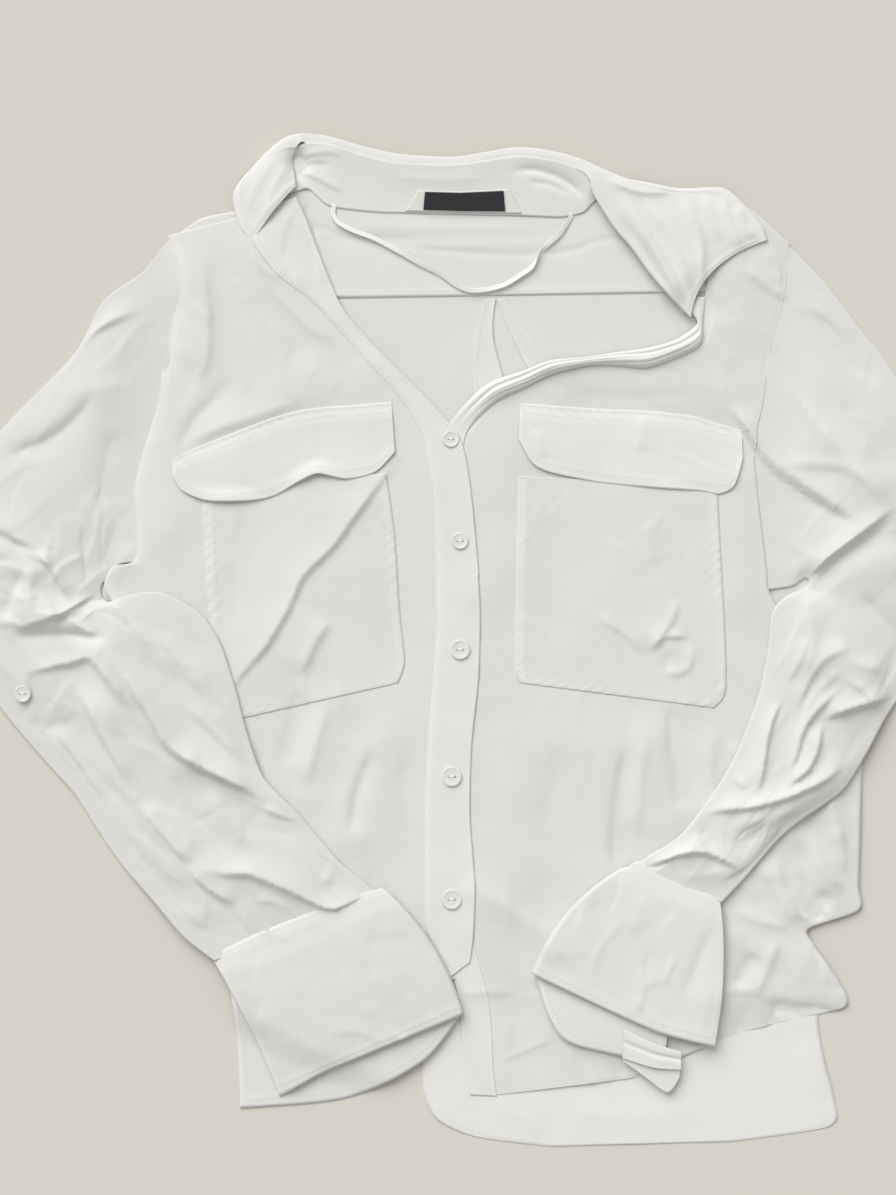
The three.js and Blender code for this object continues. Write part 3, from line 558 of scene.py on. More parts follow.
BODY_FOLDS += strewn([
    (11, (-165, 150), (-40, 245), -70, 22, 26, (18, 55), 0.55, 2.6),
    (12, (-145, -45), (-35, 95), -60, 30, 16, (18, 50), 0.40, 2.4),
    (13, (-150, -170), (-20, -50), -78, 16, 26, (25, 70), 0.50, 2.8),
    (14, (40, 100), (190, 235), -35, 30, 20, (18, 50), 0.50, 2.6),
    (15, (45, -35), (160, 95), -80, 32, 20, (15, 45), 0.40, 2.4),
    (16, (25, -200), (200, -45), -86, 14, 34, (25, 80), 0.50, 2.8),
    (17, (150, -280), (240, -50), -65, 30, 40, (15, 55), 1.1, 2.8),
    (18, (0, -290), (160, -190), -20, 50, 30, (18, 60), 0.6, 2.8),
])

BACK_FOLDS = [
    # the pleat under the yoke
    ([(27, 205), (25, 190), (27, 178), (32, 158), (38, 128)], -0.55, 1.6, 3.4),
    ([(26, 205), (19, 184), (12, 160), (8, 132)], 0.9, 4, 3),
    ([(29, 205), (38, 188), (52, 168), (64, 140)], 0.9, 3, 4),
    ([(12, 188), (4, 168), (-2, 140)], 0.7, 5, 3),
    ([(-70, 200), (-52, 186), (-30, 172)], 0.5, 6, 4),
    ([(90, 196), (104, 186), (120, 176)], 0.5, 5, 5),
    ([(212, -236), (220, -252), (230, -275)], 0.8, 3, 9),
    ([(60, -280), (110, -286), (160, -280)], 0.6, 10, 8),
    ([(24, -276), (60, -292)], 0.6, 8, 8),
]


DEEPEST = 0.7  # how far a fold may sink into the layers below


def lie(x, y, height):
    """Height of the middle of a layer that lies on the body."""
    raised = height + relief(x, y) + folds(BODY_FOLDS, x, y) + ripple(x, y, LOOSE)
    return np.maximum(raised, height - DEEPEST)


# ---- Making a piece of cloth ------------------------------------------------------------------


def link(name, mesh, materials):
    """Puts a finished mesh in the scene."""
    for material in materials:
        mesh.materials.append(material)
    for polygon in mesh.polygons:
        polygon.use_smooth = True
    obj = bpy.data.objects.new(name, mesh)
    bpy.context.scene.collection.objects.link(obj)
    return obj


def wear(obj, slot, *nodes):
    """Hangs a piece under the root and hides the solids that it dresses; slot is not used."""
    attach(obj, "root")
    if nodes:
        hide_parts(*nodes)


def grid_mesh(name, across, along):
    """A flat grid mesh, with the shares 0..1 across and along of each of its points."""
    bm = bmesh.new()
    bmesh.ops.create_grid(bm, x_segments=across, y_segments=along, size=0.5)
    mesh = bpy.data.meshes.new(name)
    bm.to_mesh(mesh)
    bm.free()
    grid = np.empty(len(mesh.vertices) * 3)
    mesh.vertices.foreach_get("co", grid)
    grid = grid.reshape(-1, 3)
    return mesh, grid[:, 0] + 0.5, 0.5 - grid[:, 1]


def draw_cut(mesh, u, v, cut):
    """Lays the flat cut of the piece out as its UV map."""
    corners = np.empty(len(mesh.loops), int)
    mesh.loops.foreach_get("vertex_index", corners)
    pattern = np.stack([u * cut[0], v * cut[1]], axis=1)[corners]
    mesh.uv_layers.new(name="cut").uv.foreach_set("vector", pattern.ravel())


def close_tube(mesh):
    """Joins the first column of a grid to its last, with the faces outwards."""
    bm = bmesh.new()
    bm.from_mesh(mesh)
    bmesh.ops.remove_doubles(bm, verts=bm.verts, dist=0.02 * MM)
    bmesh.ops.recalc_face_normals(bm, faces=bm.faces)
    bm.to_mesh(mesh)
    bm.free()


def cloth(name, across, along, place, cut, material=CLOTH, thickness=THREAD, tube=False):
    """A sheet of cloth from a grid. place gives x, y, z and how double the cloth is, 0..1,
    from the shares across and along."""
    mesh, u, v = grid_mesh(name, across, along)
    x, y, z, double = place(u, v)
    points = np.stack([x, y, np.maximum(z, thickness / 2)], axis=1) * MM
    mesh.vertices.foreach_set("co", points.ravel())
    layers = mesh.attributes.new("double", "FLOAT", "POINT")
    layers.data.foreach_set("value", np.clip(double, 0, 1).astype(np.float32))
    draw_cut(mesh, u, v, cut)
    if tube:
        close_tube(mesh)
    mesh.update()
    obj = link(name, mesh, [material])
    wall = obj.modifiers.new("wall", "SOLIDIFY")
    wall.thickness = thickness * MM
    wall.offset = -1.0 if tube else 0.0
    return obj


STITCH = {"first": 0.4, "pitch": 3.0, "length": 2.1, "wide": 0.36, "tall": 0.26}
ROW_POINTS = 500  # points along a row, from which its stitches are placed
SEWN_ON = {}  # the stitches and small parts that go with each piece, by the piece's name


def sew(piece, paths):
    """Rows of stitches along paths on a piece; each path is columns x, y, z."""
    bm = bmesh.new()
    stitch = Matrix.Diagonal((STITCH["length"] / 2, STITCH["wide"] / 2, STITCH["tall"] / 2, 1))
    for path in paths:
        reach = np.linalg.norm(np.diff(path, axis=0), axis=1)
        run = np.concatenate([[0], np.cumsum(reach)])
        marks = np.arange(STITCH["first"], run[-1] - STITCH["length"], STITCH["pitch"])
        heads, tails = (
            np.stack([np.interp(mark, run, path[:, k]) for k in range(3)], axis=1)
            for mark in (marks, marks + STITCH["length"])
        )
        for head, tail in zip(heads, tails):
            turn = Vector(tail - head).to_track_quat("X", "Z").to_matrix().to_4x4()
            middle = (head + tail) / 2 + np.array([0, 0, THREAD / 2])
            place = Matrix.Translation(middle) @ turn @ stitch
            bmesh.ops.create_icosphere(bm, subdivisions=1, radius=1, matrix=place)
    bmesh.ops.transform(bm, matrix=Matrix.Scale(MM, 4), verts=bm.verts)
    mesh = bpy.data.meshes.new(f"{piece.name}_stitches")
    bm.to_mesh(mesh)
    bm.free()
    row = link(f"{piece.name}_stitches", mesh, [THREADS])
    wear(row, "cloth")
    SEWN_ON[piece.name] = [row]


def rows_on(place, rows):
    """Paths on a piece for straight rows, each from one pair of shares across, along to another."""
    t = np.linspace(0, 1, ROW_POINTS)
    paths = []
    for start, end in rows:
        x, y, z, _ = place(mix(start[0], end[0], t), mix(start[1], end[1], t))
        paths.append(np.stack([x, y, z], axis=1))
    return paths


def edge_band(distance, width, soft=0.8):
    """1 within a width of an edge, fading to 0 beyond it."""
    return 1 - smooth((distance - width) / soft)


def nearest_edge(edges, *names):
    """Distance to the nearest of some of a panel's edges."""
    return np.minimum.reduce([edges[name] for name in names])


def spans(table, pairs):
    """Longest width and length of a table's rows."""
    rows = np.array(table, float)
    wide = np.hypot(rows[:, 2 * pairs - 2] - rows[:, 0], rows[:, 2 * pairs - 1] - rows[:, 1]).max()
    long = max(
        np.linalg.norm(np.diff(rows[:, 2 * k:2 * k + 2], axis=0), axis=1).sum()
        for k in range(pairs)
    )
    return wide, long


def panel(name, table, cut, height, whiter, step=FINE, first=0, last=1, stitched=(), **how):
    """A flat panel: each row of the table is a straight section between two of its x, y pairs.
    height and whiter are functions of the place and of the distances to the panel's edges.
    stitched holds its rows of stitches, each from one pair of shares to another."""
    rows = [(*row[2 * first:2 * first + 2], *row[2 * last:2 * last + 2]) for row in table]
    wide, long = spans(rows, 2)

    def place(u, v):
        ax, ay, bx, by = sections(rows, v)
        x, y = mix(ax, bx, u), mix(ay, by, u)
        width = np.hypot(bx - ax, by - ay)
        edges = {"x": x, "y": y, "start": u * width, "end": (1 - u) * width}
        edges.update(top=v * long, bottom=(1 - v) * long)
        return x, y, height(x, y, edges), whiter(edges)

    piece = cloth(name, math.ceil(wide / step), math.ceil(long / step), place, cut, **how)
    if stitched:
        sew(piece, rows_on(place, stitched))
    return piece


# ---- Back and yoke --------------------------------------------------------------------------

YOKE_SEAM = {"left": 204, "right": 210, "from": -161, "to": 199}


def yoke_seam(x):
    """The y of the seam between the yoke and the back."""
    share = (x - YOKE_SEAM["from"]) / (YOKE_SEAM["to"] - YOKE_SEAM["from"])
    return mix(YOKE_SEAM["left"], YOKE_SEAM["right"], share)


# The yoke in upright sections from left to right: top x, y, seam x
YOKE = [
    (x, y, seam, yoke_seam(seam))
    for x, y, seam in [
        (-165.5, 242, -160), (-150, 253, -142), (-133, 257, -120), (-108, 262, -98),
        (-88, 273, -74), (-72, 268, -56), (-45, 262, -30), (-30, 260, -12), (6, 257, 18),
        (43, 256, 52), (66, 258, 82), (80, 263, 104), (120, 267, 134), (171, 264, 168),
        (202.5, 239, 198.5),
    ]
]

# The back below the yoke: left x, y, right x, y
BACK = [
    (-159, 209, 200, 214), (-170, 184, 194, 186), (-174, 150, 189, 150), (-180, 125, 184, 125),
    (-189, 88, 185, 88), (-190, 52, 196, 52), (-212, 45, 217, 44), (-215, 34, 227, 29),
    (-208, 22, 219, 8), (-189, 4, 219, -8), (-186, -20, 234, -29), (-183, -60, 246, -62),
    (-175, -100, 245, -105), (-162, -140, 244, -150), (-150, -170, 240, -162),
    (-140, -188, 212, -174), (-90, -216, 217, -196), (-50, -232, 220, -216), (-19, -249, 222, -236),
    (-16, -269, 226, -257), (-9, -286, 231, -276), (14, -297, 228, -291), (60, -303, 170, -300),
]
HEM = 6.0
SEAM = 5.0
BARE_BACK = {"from": -170, "over": 50}  # the y where the back comes out below the fronts
Z_YOKE = Z_BACK + 0.54
Z_PLEAT = Z_BACK + 0.55


def back_height(x, y, edges):
    settled = 0.3 * edge_band(nearest_edge(edges, "bottom", "start", "end"), 1, 10)
    return Z_BACK - settled + folds(BACK_FOLDS, x, y) + ripple(x, y, SMOOTHED)


# Creases of the yoke inside the neck
YOKE_FOLDS = [
    ([(-89, 264), (-85, 250), (-80, 239)], -1.3, 3, 1.4),
    ([(-81, 240), (-70, 242), (-50, 242), (-10, 240)], -0.8, 1.6, 4),
    ([(-70, 249), (-20, 247), (60, 247)], 0.5, 4, 2),
    ([(-60, 236), (0, 236), (90, 238)], 0.4, 4, 1.4),
]


def yoke_height(x, y, edges):
    """A ridge along the seam, and a tuck where the yoke goes under the collar."""
    seam_ridge = 0.12 * bell(edges["end"], 2.5, 2.0) - 0.08 * edge_band(edges["end"], 0.5, 2)
    tuck = -0.5 * bell(edges["start"], 25, 1.3)
    return Z_YOKE + seam_ridge + tuck + folds(YOKE_FOLDS, x, y) + ripple(x, y, SMOOTHED)


def back_white(edges):
    """Whiter at the seams and the hem, and where the back comes out below the fronts."""
    low = 0.12 + 0.8 * smooth((BARE_BACK["from"] - edges["y"]) / BARE_BACK["over"])
    sides = edge_band(nearest_edge(edges, "start", "end"), SEAM)
    return np.maximum(low + 0.3 * edge_band(edges["bottom"], HEM), 0.5 * sides)


def yoke_white(edges):
    return 0.45 + 0.4 * edge_band(edges["end"], SEAM)


# The two folded edges of the pleat under the yoke: left x, y, right x, y
PLEAT_LEFT = [(21, 205, 27.4, 205), (17, 188, 25.6, 190), (14, 166, 27, 176), (15, 138, 36, 144)]
PLEAT_RIGHT = [(28.4, 205, 33, 205), (34, 189, 45, 187), (44, 168, 59, 164), (57, 145, 72, 140)]


def pleat_height(x, y, edges):
    return Z_PLEAT + 0.25 * edge_band(nearest_edge(edges, "start", "end"), 1, 2)


def pleat_white(edges):
    return 0.5 + 0.3 * edge_band(edges["end"], 1.2)


back = panel(
    "back", BACK, (0.56, 0.62), back_height, back_white, step=5.0, material=INSIDE,
    stitched=[((0.02, 0.987), (0.98, 0.987))],
)
pleats = [
    panel(name, table, (0.02, 0.065), pleat_height, pleat_white, step=1.5, material=INSIDE)
    for name, table in (("pleat_left", PLEAT_LEFT), ("pleat_right", PLEAT_RIGHT))
]
yoke = panel(
    "yoke", YOKE, (0.065, 0.41), yoke_height, yoke_white, material=INSIDE,
    stitched=[((0.94, 0.02), (0.94, 0.98))],
)
wear(back, "cloth", "back_panel")
wear(yoke, "cloth", "back_yoke")
for pleat in pleats:
    wear(pleat, "cloth")

# ---- Fronts, placket and button band ----------------------------------------------------------

# Left front and its placket: side x, y, seam x, y, free edge x, y
LEFT_FRONT = [
    (-169, 243, -121, 257, -92, 266), (-163, 226, -118, 239, -85, 250),
    (-161, 210, -104, 220, -76, 226), (-166, 192, -80, 201, -63, 197),
    (-172, 165, -51, 169, -37, 168), (-174, 145, -30, 146, -14, 145),
    (-180, 125, -17, 125, 3, 126), (-184, 112, -14, 112, 9, 112), (-189, 88, -10, 88, 13, 86),
    (-188, 50, -8, 45, 17, 44), (-202, 44.5, -8, 38, 17, 38), (-207, 33, -8, 30, 17.5, 30),
    (-202, 23, -8, 20, 18, 20), (-189, 4, -8, 4, 18, 4), (-186, -20, -10, -22, 17, -24),
    (-183, -60, -13, -59, 13, -62), (-174, -100, -15, -104, 12, -104),
    (-160, -140, -15, -145, 15, -147), (-144, -172, -14, -172, 14, -176),
    (-112, -196, -2, -203, 12, -192),
]

# Right front and its button band: band's inner edge x, y, seam x, y, side x, y
RIGHT_FRONT = [
    (148, 190, 150, 178, 193, 182), (136, 181, 141, 172, 192, 174), (120, 176, 119, 164, 190, 162),
    (100, 173, 101, 165, 189, 152), (80, 170, 83, 165, 188, 145), (60, 168, 62, 160, 187, 138),
    (44, 162, 47, 153, 185, 131), (24, 155, 30, 145, 184, 125), (10, 143, 18, 135, 184, 119),
    (-2, 128, 10, 125, 183, 112), (-10, 112, 8, 112, 183, 105), (-7, 88, 11, 86, 185, 85),
    (-3, 45, 15, 44, 190, 42), (-3, 30, 15, 28, 192, 28), (-2, 0, 16, 0, 210, 0),
    (-4, -26, 15, -26, 234, -29), (-8, -62, 11, -62, 246, -62), (-9, -104, 10, -104, 246, -105),
    (-6, -147, 13, -147, 245, -146), (-5, -164, 13, -163, 245, -161),
    (-4, -178, 13, -176, 215, -172), (1, -196, 18, -195, 218, -182), (5, -215, 23, -214, 233, -204),
    (7, -236, 25, -234, 237, -219), (8, -246, 25.5, -246, 202, -228),
    (9.5, -257, 26, -257, 162, -239), (12, -272, 28, -273, 110, -262),
]
# The right front above the rolled neckline: neck edge x, y, side x, y
RIGHT_SHOULDER = [(167, 265, 203, 239), (159, 242, 202, 220), (153, 210, 199, 200)]
# Twisted lines along the rolled band: share across it, depth, width as a share of the band
BAND_LINES = [(0.32, 1.9, 0.11), (0.56, 0.4, 0.05), (0.76, 0.7, 0.06)]
FULL_ROLL = 5  # height of the roll where the lines have these depths
# Height of the roll of the button band, by row of RIGHT_FRONT
BAND_ROLL = [3.5, 4.5, 5.5, 5, 4.5, 5, 5, 4.5, 2, 0]
# The band's start, under the collar leaf's end: inner edge x, y, seam x, y, roll
BAND_START = [(143, 206, 153, 206, 1), (145, 197, 151.5, 193, 2.5)]


HEM_DROP = {"from": -200, "over": 30}


def side_settles(distance):
    """How much lower a front lies along its side edge."""
    return 0.35 * edge_band(distance, 0.5, 5)


def hem_settles(y):
    """How much lower the right front lies where only the back is under it."""
    return smooth((HEM_DROP["from"] - y) / HEM_DROP["over"])


def on_left_front(x, y, edges):
    return lie(x, y, Z_FRONT) - side_settles(edges["start"])


def on_right_front(x, y, edges):
    under_band = 0.5 * edge_band(edges["start"], 4, 3)
    return lie(x, y, Z_FRONT) - side_settles(edges["end"]) - hem_settles(y) - under_band


# The folded cloth under the left armhole's edge
UNDER_ARMHOLE = {"x": -156, "y": 180, "wide": 12, "long": 32}


def left_front_white(edges):
    """Whiter at the seams, the hem and the folded cloth under the armhole's edge."""
    across = (edges["x"] - UNDER_ARMHOLE["x"]) / UNDER_ARMHOLE["wide"]
    along = (edges["y"] - UNDER_ARMHOLE["y"]) / UNDER_ARMHOLE["long"]
    under = np.hypot(across, along)
    doubled = np.maximum(edge_band(edges["start"], SEAM), 1 - smooth((under - 0.9) / 0.15))
    return 0.28 + 0.32 * doubled + 0.4 * edge_band(edges["bottom"], HEM)


def right_front_white(edges):
    """Whiter at the seams and the hem."""
    sides = np.minimum(edges["start"] + 2, edges["end"])
    return 0.12 + 0.22 * edge_band(sides, SEAM) + 0.25 * edge_band(edges["bottom"], HEM)


def on_placket(x, y, edges):
    """Sewn down along its seam, with a fine wave along its free edge."""
    sewn = 0.5 * edge_band(edges["start"], 0.3, 4.0)
    rim = 0.12 * bell(edges["end"], 1.2, 1.4)
    wave = 0.12 * np.sin(y / 5.1 + 2 * np.sin(y / 23)) * bell(edges["end"], 0, 9)
    return lie(x, y, Z_PLACKET) - sewn + rim + wave


MEND = {"x": (-46.0, -25.5), "y": (-124.0, -122.2)}


def mend_path(t):
    """The short row of stitches below the left pocket."""
    x, y = mix(*MEND["x"], t), mix(*MEND["y"], t)
    return np.stack([x, y, lie(x, y, Z_FRONT)], axis=1)


def placket_white(edges):
    seams = edge_band(nearest_edge(edges, "start", "end"), 2.2)
    return 0.72 + 0.16 * np.maximum(seams, edge_band(edges["bottom"], 3))


UNDER_PLACKET = 6  # how far the left front runs on under the placket
UNDER_BAND = 0.3  # and the right front under the button band, as a share of the band's width
left_rows = [(*row[:2], row[2] + UNDER_PLACKET, row[3]) for row in LEFT_FRONT]
front_left = panel("front_left_cloth", left_rows, (0.225, 0.475), on_left_front, left_front_white)
placket = panel(
    "placket_cloth", LEFT_FRONT, (0.036, 0.49), on_placket, placket_white, step=1.2, first=1, last=2,
    stitched=[((0.1, 0.01), (0.1, 0.99)), ((0.9, 0.01), (0.9, 0.99)), ((0.1, 0.99), (0.9, 0.99))],
)
sew(front_left, [mend_path(np.linspace(0, 1, 60))])
shoulder_rows = [(nx, ny, nx, ny, sx, sy) for nx, ny, sx, sy in RIGHT_SHOULDER]
right_rows = shoulder_rows + [
    (*row[:2], mix(row[2], row[0], UNDER_BAND), mix(row[3], row[1], UNDER_BAND), *row[4:])
    for row in RIGHT_FRONT
]
front_right = panel(
    "front_right_cloth", right_rows, (0.25, 0.55), on_right_front, right_front_white, first=1, last=2,
    stitched=[((0.03, 0.988), (0.97, 0.988))],
)
wear(front_left, "cloth", "front_left")
wear(placket, "cloth", "placket")
wear(front_right, "cloth", "front_right")


def roll_band():
    """The button band, rolled up along the open neckline."""
    rolls = BAND_ROLL + [0] * (len(RIGHT_FRONT) - len(BAND_ROLL))
    rolled = BAND_START + [(*row[:4], roll) for row, roll in zip(RIGHT_FRONT, rolls)]
    _, long = spans(rolled, 2)

    def place(u, v):
        ax, ay, bx, by, roll = sections(rolled, v)
        x, y = mix(ax, bx, u), mix(ay, by, u)
        roll = np.maximum(roll, 0)
        middle = np.sin(np.pi * np.clip(u, 0, 1))
        twist = 0.3 * roll / FULL_ROLL * np.sin(v * 95 + 4 * u)
        for line, depth, width in BAND_LINES:
            wandering = line + 0.07 * np.sin(v * 21 + 5 * line)
            twist -= depth * roll / FULL_ROLL * bell(u, wandering, width)
        z = lie(x, y, Z_FRONT) - hem_settles(y) + roll * middle ** 0.55 + twist * middle ** 0.3
        sides = np.minimum(u, 1 - u) * np.hypot(bx - ax, by - ay)
        return x, y, z, 0.72 + 0.18 * edge_band(sides, 1.5)

    return cloth("button_band_cloth", 32, math.ceil(long / 1.6), place, (0.036, 0.56))


button_band = roll_band()
wear(button_band, "cloth", "button_band")

# ---- Pockets and flaps -----------------------------------------------------------------------

# Pockets: left x, y, right x, y, from under the flap down
POCKET_LEFT = [
    (-149, 100, -38, 100), (-147, 60, -33, 64), (-145, 15, -30, 18), (-143, -25, -27, -12),
    (-141, -50, -31, -25),
]
POCKET_RIGHT = [
    (41, 99, 160, 93), (40, 60, 162, 55), (39, 0, 165, 0), (39, -18, 165, -31), (42, -25, 158, -40),
]
# Flaps in upright sections from left to right: top x, y, bottom x, y
FLAP_LEFT = [
    (-166, 109, -166, 99), (-158, 113, -160, 90), (-144, 119, -145, 84), (-126, 126, -120, 84),
    (-108, 133, -105, 87), (-90, 138, -91, 95), (-75, 140, -79, 100), (-60, 141, -62, 97),
    (-43, 142.5, -45, 101), (-35, 143, -33, 113),
]
FLAP_RIGHT = [
    (42, 142, 41, 121), (49, 142, 49, 107), (60, 141, 60, 101), (90, 139, 90, 95),
    (116, 138, 120, 92), (144, 135, 149, 90), (158, 131, 161, 88), (168, 128, 170, 93),
    (175, 126, 175, 109),
]
POCKET_HEM = 5.0
FLAP_HEM = 5
RIM_WIDTH = 1.2  # half the width of the raised line that a row of stitches leaves
PUCKER = {"length": 8.5, "rise": 0.16, "reach": 8.0}


def pucker(distance, run):
    """Uneven little gathers along a line of stitching."""
    near = bell(distance, 0, PUCKER["reach"])
    beat = 0.55 + 0.45 * np.sin(run / 23 + 1.7 * np.sin(run / 41))
    wave = np.sin(2 * math.pi * run / PUCKER["length"] + 2.4 * np.sin(run / 17))
    return PUCKER["rise"] * near * beat * wave


def on_pocket(x, y, edges):
    """Sewn down round the edge, with small puckers along the stitching."""
    rim = nearest_edge(edges, "start", "end", "bottom")
    sewn = SEWN * edge_band(rim, 0.6, 2.0)
    band = 0.1 * bell(rim, POCKET_HEM, RIM_WIDTH)
    return lie(x, y, Z_POCKET) - sewn + band + pucker(rim, edges["top"] + x)


def pocket_white(edges):
    return 0.22 + 0.5 * edge_band(nearest_edge(edges, "start", "end", "bottom"), POCKET_HEM)


# Where the left flap's free edge stands off the pocket: x, half-width, rise
FLAP_LIFTS = [(-134, 17, 1.7), (-80, 17, 2.2)]


def on_flap(x, y, edges):
    """Sewn along its top, free at its sides and lower edge."""
    sewn = (Z_FLAP - Z_POCKET + SEWN) * edge_band(edges["start"], 1.0, 9.0)
    rim = nearest_edge(edges, "top", "bottom", "start", "end")
    band = 0.12 * bell(rim, FLAP_HEM, RIM_WIDTH)
    run = x + y
    curl = 0.45 * edge_band(edges["end"], 1, 7) * np.sin(run / 15 + 2 * np.sin(run / 37))
    lift = sum(rise * bell(x, at, wide) for at, wide, rise in FLAP_LIFTS)
    curl += lift * edge_band(edges["end"], 1, 10)
    return lie(x, y, Z_FLAP) - sewn + band + 1.6 * pucker(edges["start"], run) + curl


def flap_white(edges):
    rim = nearest_edge(edges, "top", "bottom", "start", "end")
    return 0.82 + 0.18 * edge_band(rim, 4.5)


POCKET_ROWS = [
    ((0.014, 0.0), (0.014, 0.99)), ((0.014, 0.99), (0.986, 0.99)), ((0.986, 0.99), (0.986, 0.0)),
    ((0.052, 0.0), (0.052, 0.955)), ((0.052, 0.955), (0.948, 0.955)), ((0.948, 0.955), (0.948, 0.0)),
]
FLAP_ROWS = [
    ((0.04, 0.01), (0.04, 0.99)), ((0.04, 0.035), (0.88, 0.035)), ((0.88, 0.035), (0.88, 0.965)),
    ((0.88, 0.965), (0.04, 0.965)), ((0.15, 0.01), (0.15, 0.99)),
]
# Each piece's table, cut, height and whiteness, the spacing of its points and its stitched rows
PATCHES = {
    "pocket_left": (POCKET_LEFT, (0.118, 0.15), on_pocket, pocket_white, 1.5, POCKET_ROWS),
    "pocket_right": (POCKET_RIGHT, (0.127, 0.139), on_pocket, pocket_white, 1.5, POCKET_ROWS),
    "flap_left": (FLAP_LEFT, (0.047, 0.146), on_flap, flap_white, 1.1, FLAP_ROWS),
    "flap_right": (FLAP_RIGHT, (0.049, 0.137), on_flap, flap_white, 1.1, FLAP_ROWS),
}
for node, (table, cut, height, whiter, step, rows) in PATCHES.items():
    patch = panel(f"{node}_cloth", table, cut, height, whiter, step=step, stitched=rows)
    wear(patch, "cloth", node)

# ---- Collar ---------------------------------------------------------------------------------

# The stand: seam x, y, roll x, y, seam z, roll z, from the left front round the back to the right
STAND = [
    (-97, 268, -99, 287, 2.8, 5.2), (-90, 270, -93, 295, 2.4, 5.6), (-84, 270.5, -84, 298, 1.8, 5.6),
    (-72, 260.6, -71, 297, 1.8, 5.6), (-45, 257, -50, 290, 1.8, 5.6), (-30, 256.6, -30, 286, 1.8, 5.6),
    (6, 255.6, 4, 285, 1.8, 5.6), (43, 254.8, 40, 290, 1.8, 5.6), (66, 254, 64, 287, 1.8, 5.9),
    (79, 256.5, 80, 280, 2, 6.6), (84, 261, 83, 275, 2.2, 7), (89, 265.5, 84.5, 270.5, 2.2, 7),
    (94, 267, 87, 265.5, 2.2, 6.8), (99, 265.5, 91, 259.5, 2.4, 6.4), (112, 256, 101, 247, 2.4, 5.6),
    (124, 243, 112, 234, 2.4, 5.2), (134, 228, 122, 220, 2.4, 5), (143, 212, 131, 207, 2.4, 4.8),
    (148, 201, 139, 197, 2.4, 4.6),
]

# The leaf: fold x, y, middle x, y, edge x, y, then the height z of each, from left to right
LEAF = [
    (-92, 272, -106, 256, -118, 239, 5.2, 5.4, 3.4), (-93, 280, -110, 268, -126, 248, 5.4, 5.6, 3.2),
    (-94, 289, -112, 281, -130, 267, 5.8, 5.4, 2.6), (-91, 296, -106, 293, -121, 281, 6, 5.0, 1.8),
    (-88, 298.4, -96, 302, -104, 296, 6, 4.6, 0.8), (-84, 296.4, -86, 303, -86, 288, 5.1, 3.6, 0.7),
    (-71, 295.4, -73, 301, -74, 284, 5.1, 3.6, 0.7), (-50, 288.4, -49, 294.5, -48, 278, 5.1, 3.6, 0.7),
    (-30, 284.4, -29, 290.5, -29, 274, 5.1, 3.6, 0.7), (4, 283.4, 4, 289, 5, 272, 5.1, 3.6, 0.7),
    (40, 288.4, 41, 294.5, 42, 276, 5.1, 3.6, 0.7), (64, 285.6, 66, 291.5, 70, 277, 5.4, 3.8, 0.7),
    (79, 280.2, 81, 287, 87, 276, 6.6, 4.8, 1.4), (83, 275.6, 92, 281, 101, 276.5, 7.6, 6.2, 3),
    (86, 266, 100, 273, 114, 275, 7.4, 6.6, 4),
    (98, 247, 118, 262, 138, 271, 6.6, 5.6, 3.0), (109, 234, 138, 254, 164, 271, 6.2, 5.4, 3.4),
    (119, 220, 150, 240, 180, 257, 6, 5.6, 3.8), (131, 206, 154, 231, 187, 248, 6, 5.7, 4.0),
    (144, 193, 157, 221, 190, 240, 5.6, 5.2, 4.0),
]

COLLAR_FOLDS = [
    # creases that fan out from the rolled band's end
    ([(100, 268), (106, 260), (122, 236), (144, 196)], 3.2, 2.3, 5.5),
    ([(116, 266), (134, 238), (146, 202)], 2.9, 2.3, 5.5),
    ([(138, 268), (150, 240), (150, 206)], 2.5, 2.3, 6),
    ([(108, 252), (124, 230), (140, 200)], 2.2, 2.1, 3.5),
    ([(126, 264), (140, 240), (147, 212)], 1.4, 2.0, 3.5),
    ([(100, 256), (116, 232), (134, 206)], -1.6, 3.5, 2.1),
    # near the shoulder
    ([(162, 268), (168, 248), (176, 232)], 2.2, 2.1, 5),
    ([(172, 262), (176, 248), (184, 240)], 1.8, 2.1, 5),
    ([(152, 268), (158, 250), (164, 238)], 1.4, 2.1, 4),
    ([(92, 276), (112, 268), (136, 268)], 1.4, 5, 1.6),
    # left end
    ([(-96, 288), (-106, 270), (-112, 250)], 1.0, 5, 3),
    ([(-104, 290), (-116, 272), (-122, 254)], 0.8, 4, 4),
    ([(-94, 276), (-104, 262), (-114, 250)], 0.6, 3, 2),
]
STAND_FOLDS = [
    # the crease where the stand bends down to the right front
    ([(34, 281), (50, 282), (64, 278), (75, 271), (82, 261)], -2.2, 3, 2.2),
    ([(44, 275), (60, 273), (74, 266)], -1.0, 1.8, 1.6),
    # little creases from the left end's hollow
    ([(-92, 287), (-84, 291), (-72, 292), (-62, 289)], 1.0, 3, 0.9),
    ([(-92, 284), (-82, 286), (-70, 285)], -0.9, 0.9, 3),
    ([(-93, 281), (-82, 278), (-70, 272), (-62, 268)], 1.1, 3, 0.9),
    ([(-92, 277), (-86, 270), (-80, 264)], 0.7, 2, 0.8),
    ([(-40, 279), (-10, 276), (26, 277)], 0.5, 4, 3),
]
# The deep hollow between the stand's left end and the leaf
HOLLOW_PLACE = {"x": -91, "y": 286, "depth": 7.5, "wide": 4.4, "long": 6.0}
STAND_LOWEST = 1.0
LEAF_LOWEST = 1.6
FALL_EDGE = 2  # the leaf's edge lies lower than this where it falls behind the neck
LEAF_LENGTH = 420
TOPSTITCH = 5  # distance of the row of stitches from the leaf's and the cuffs' edges


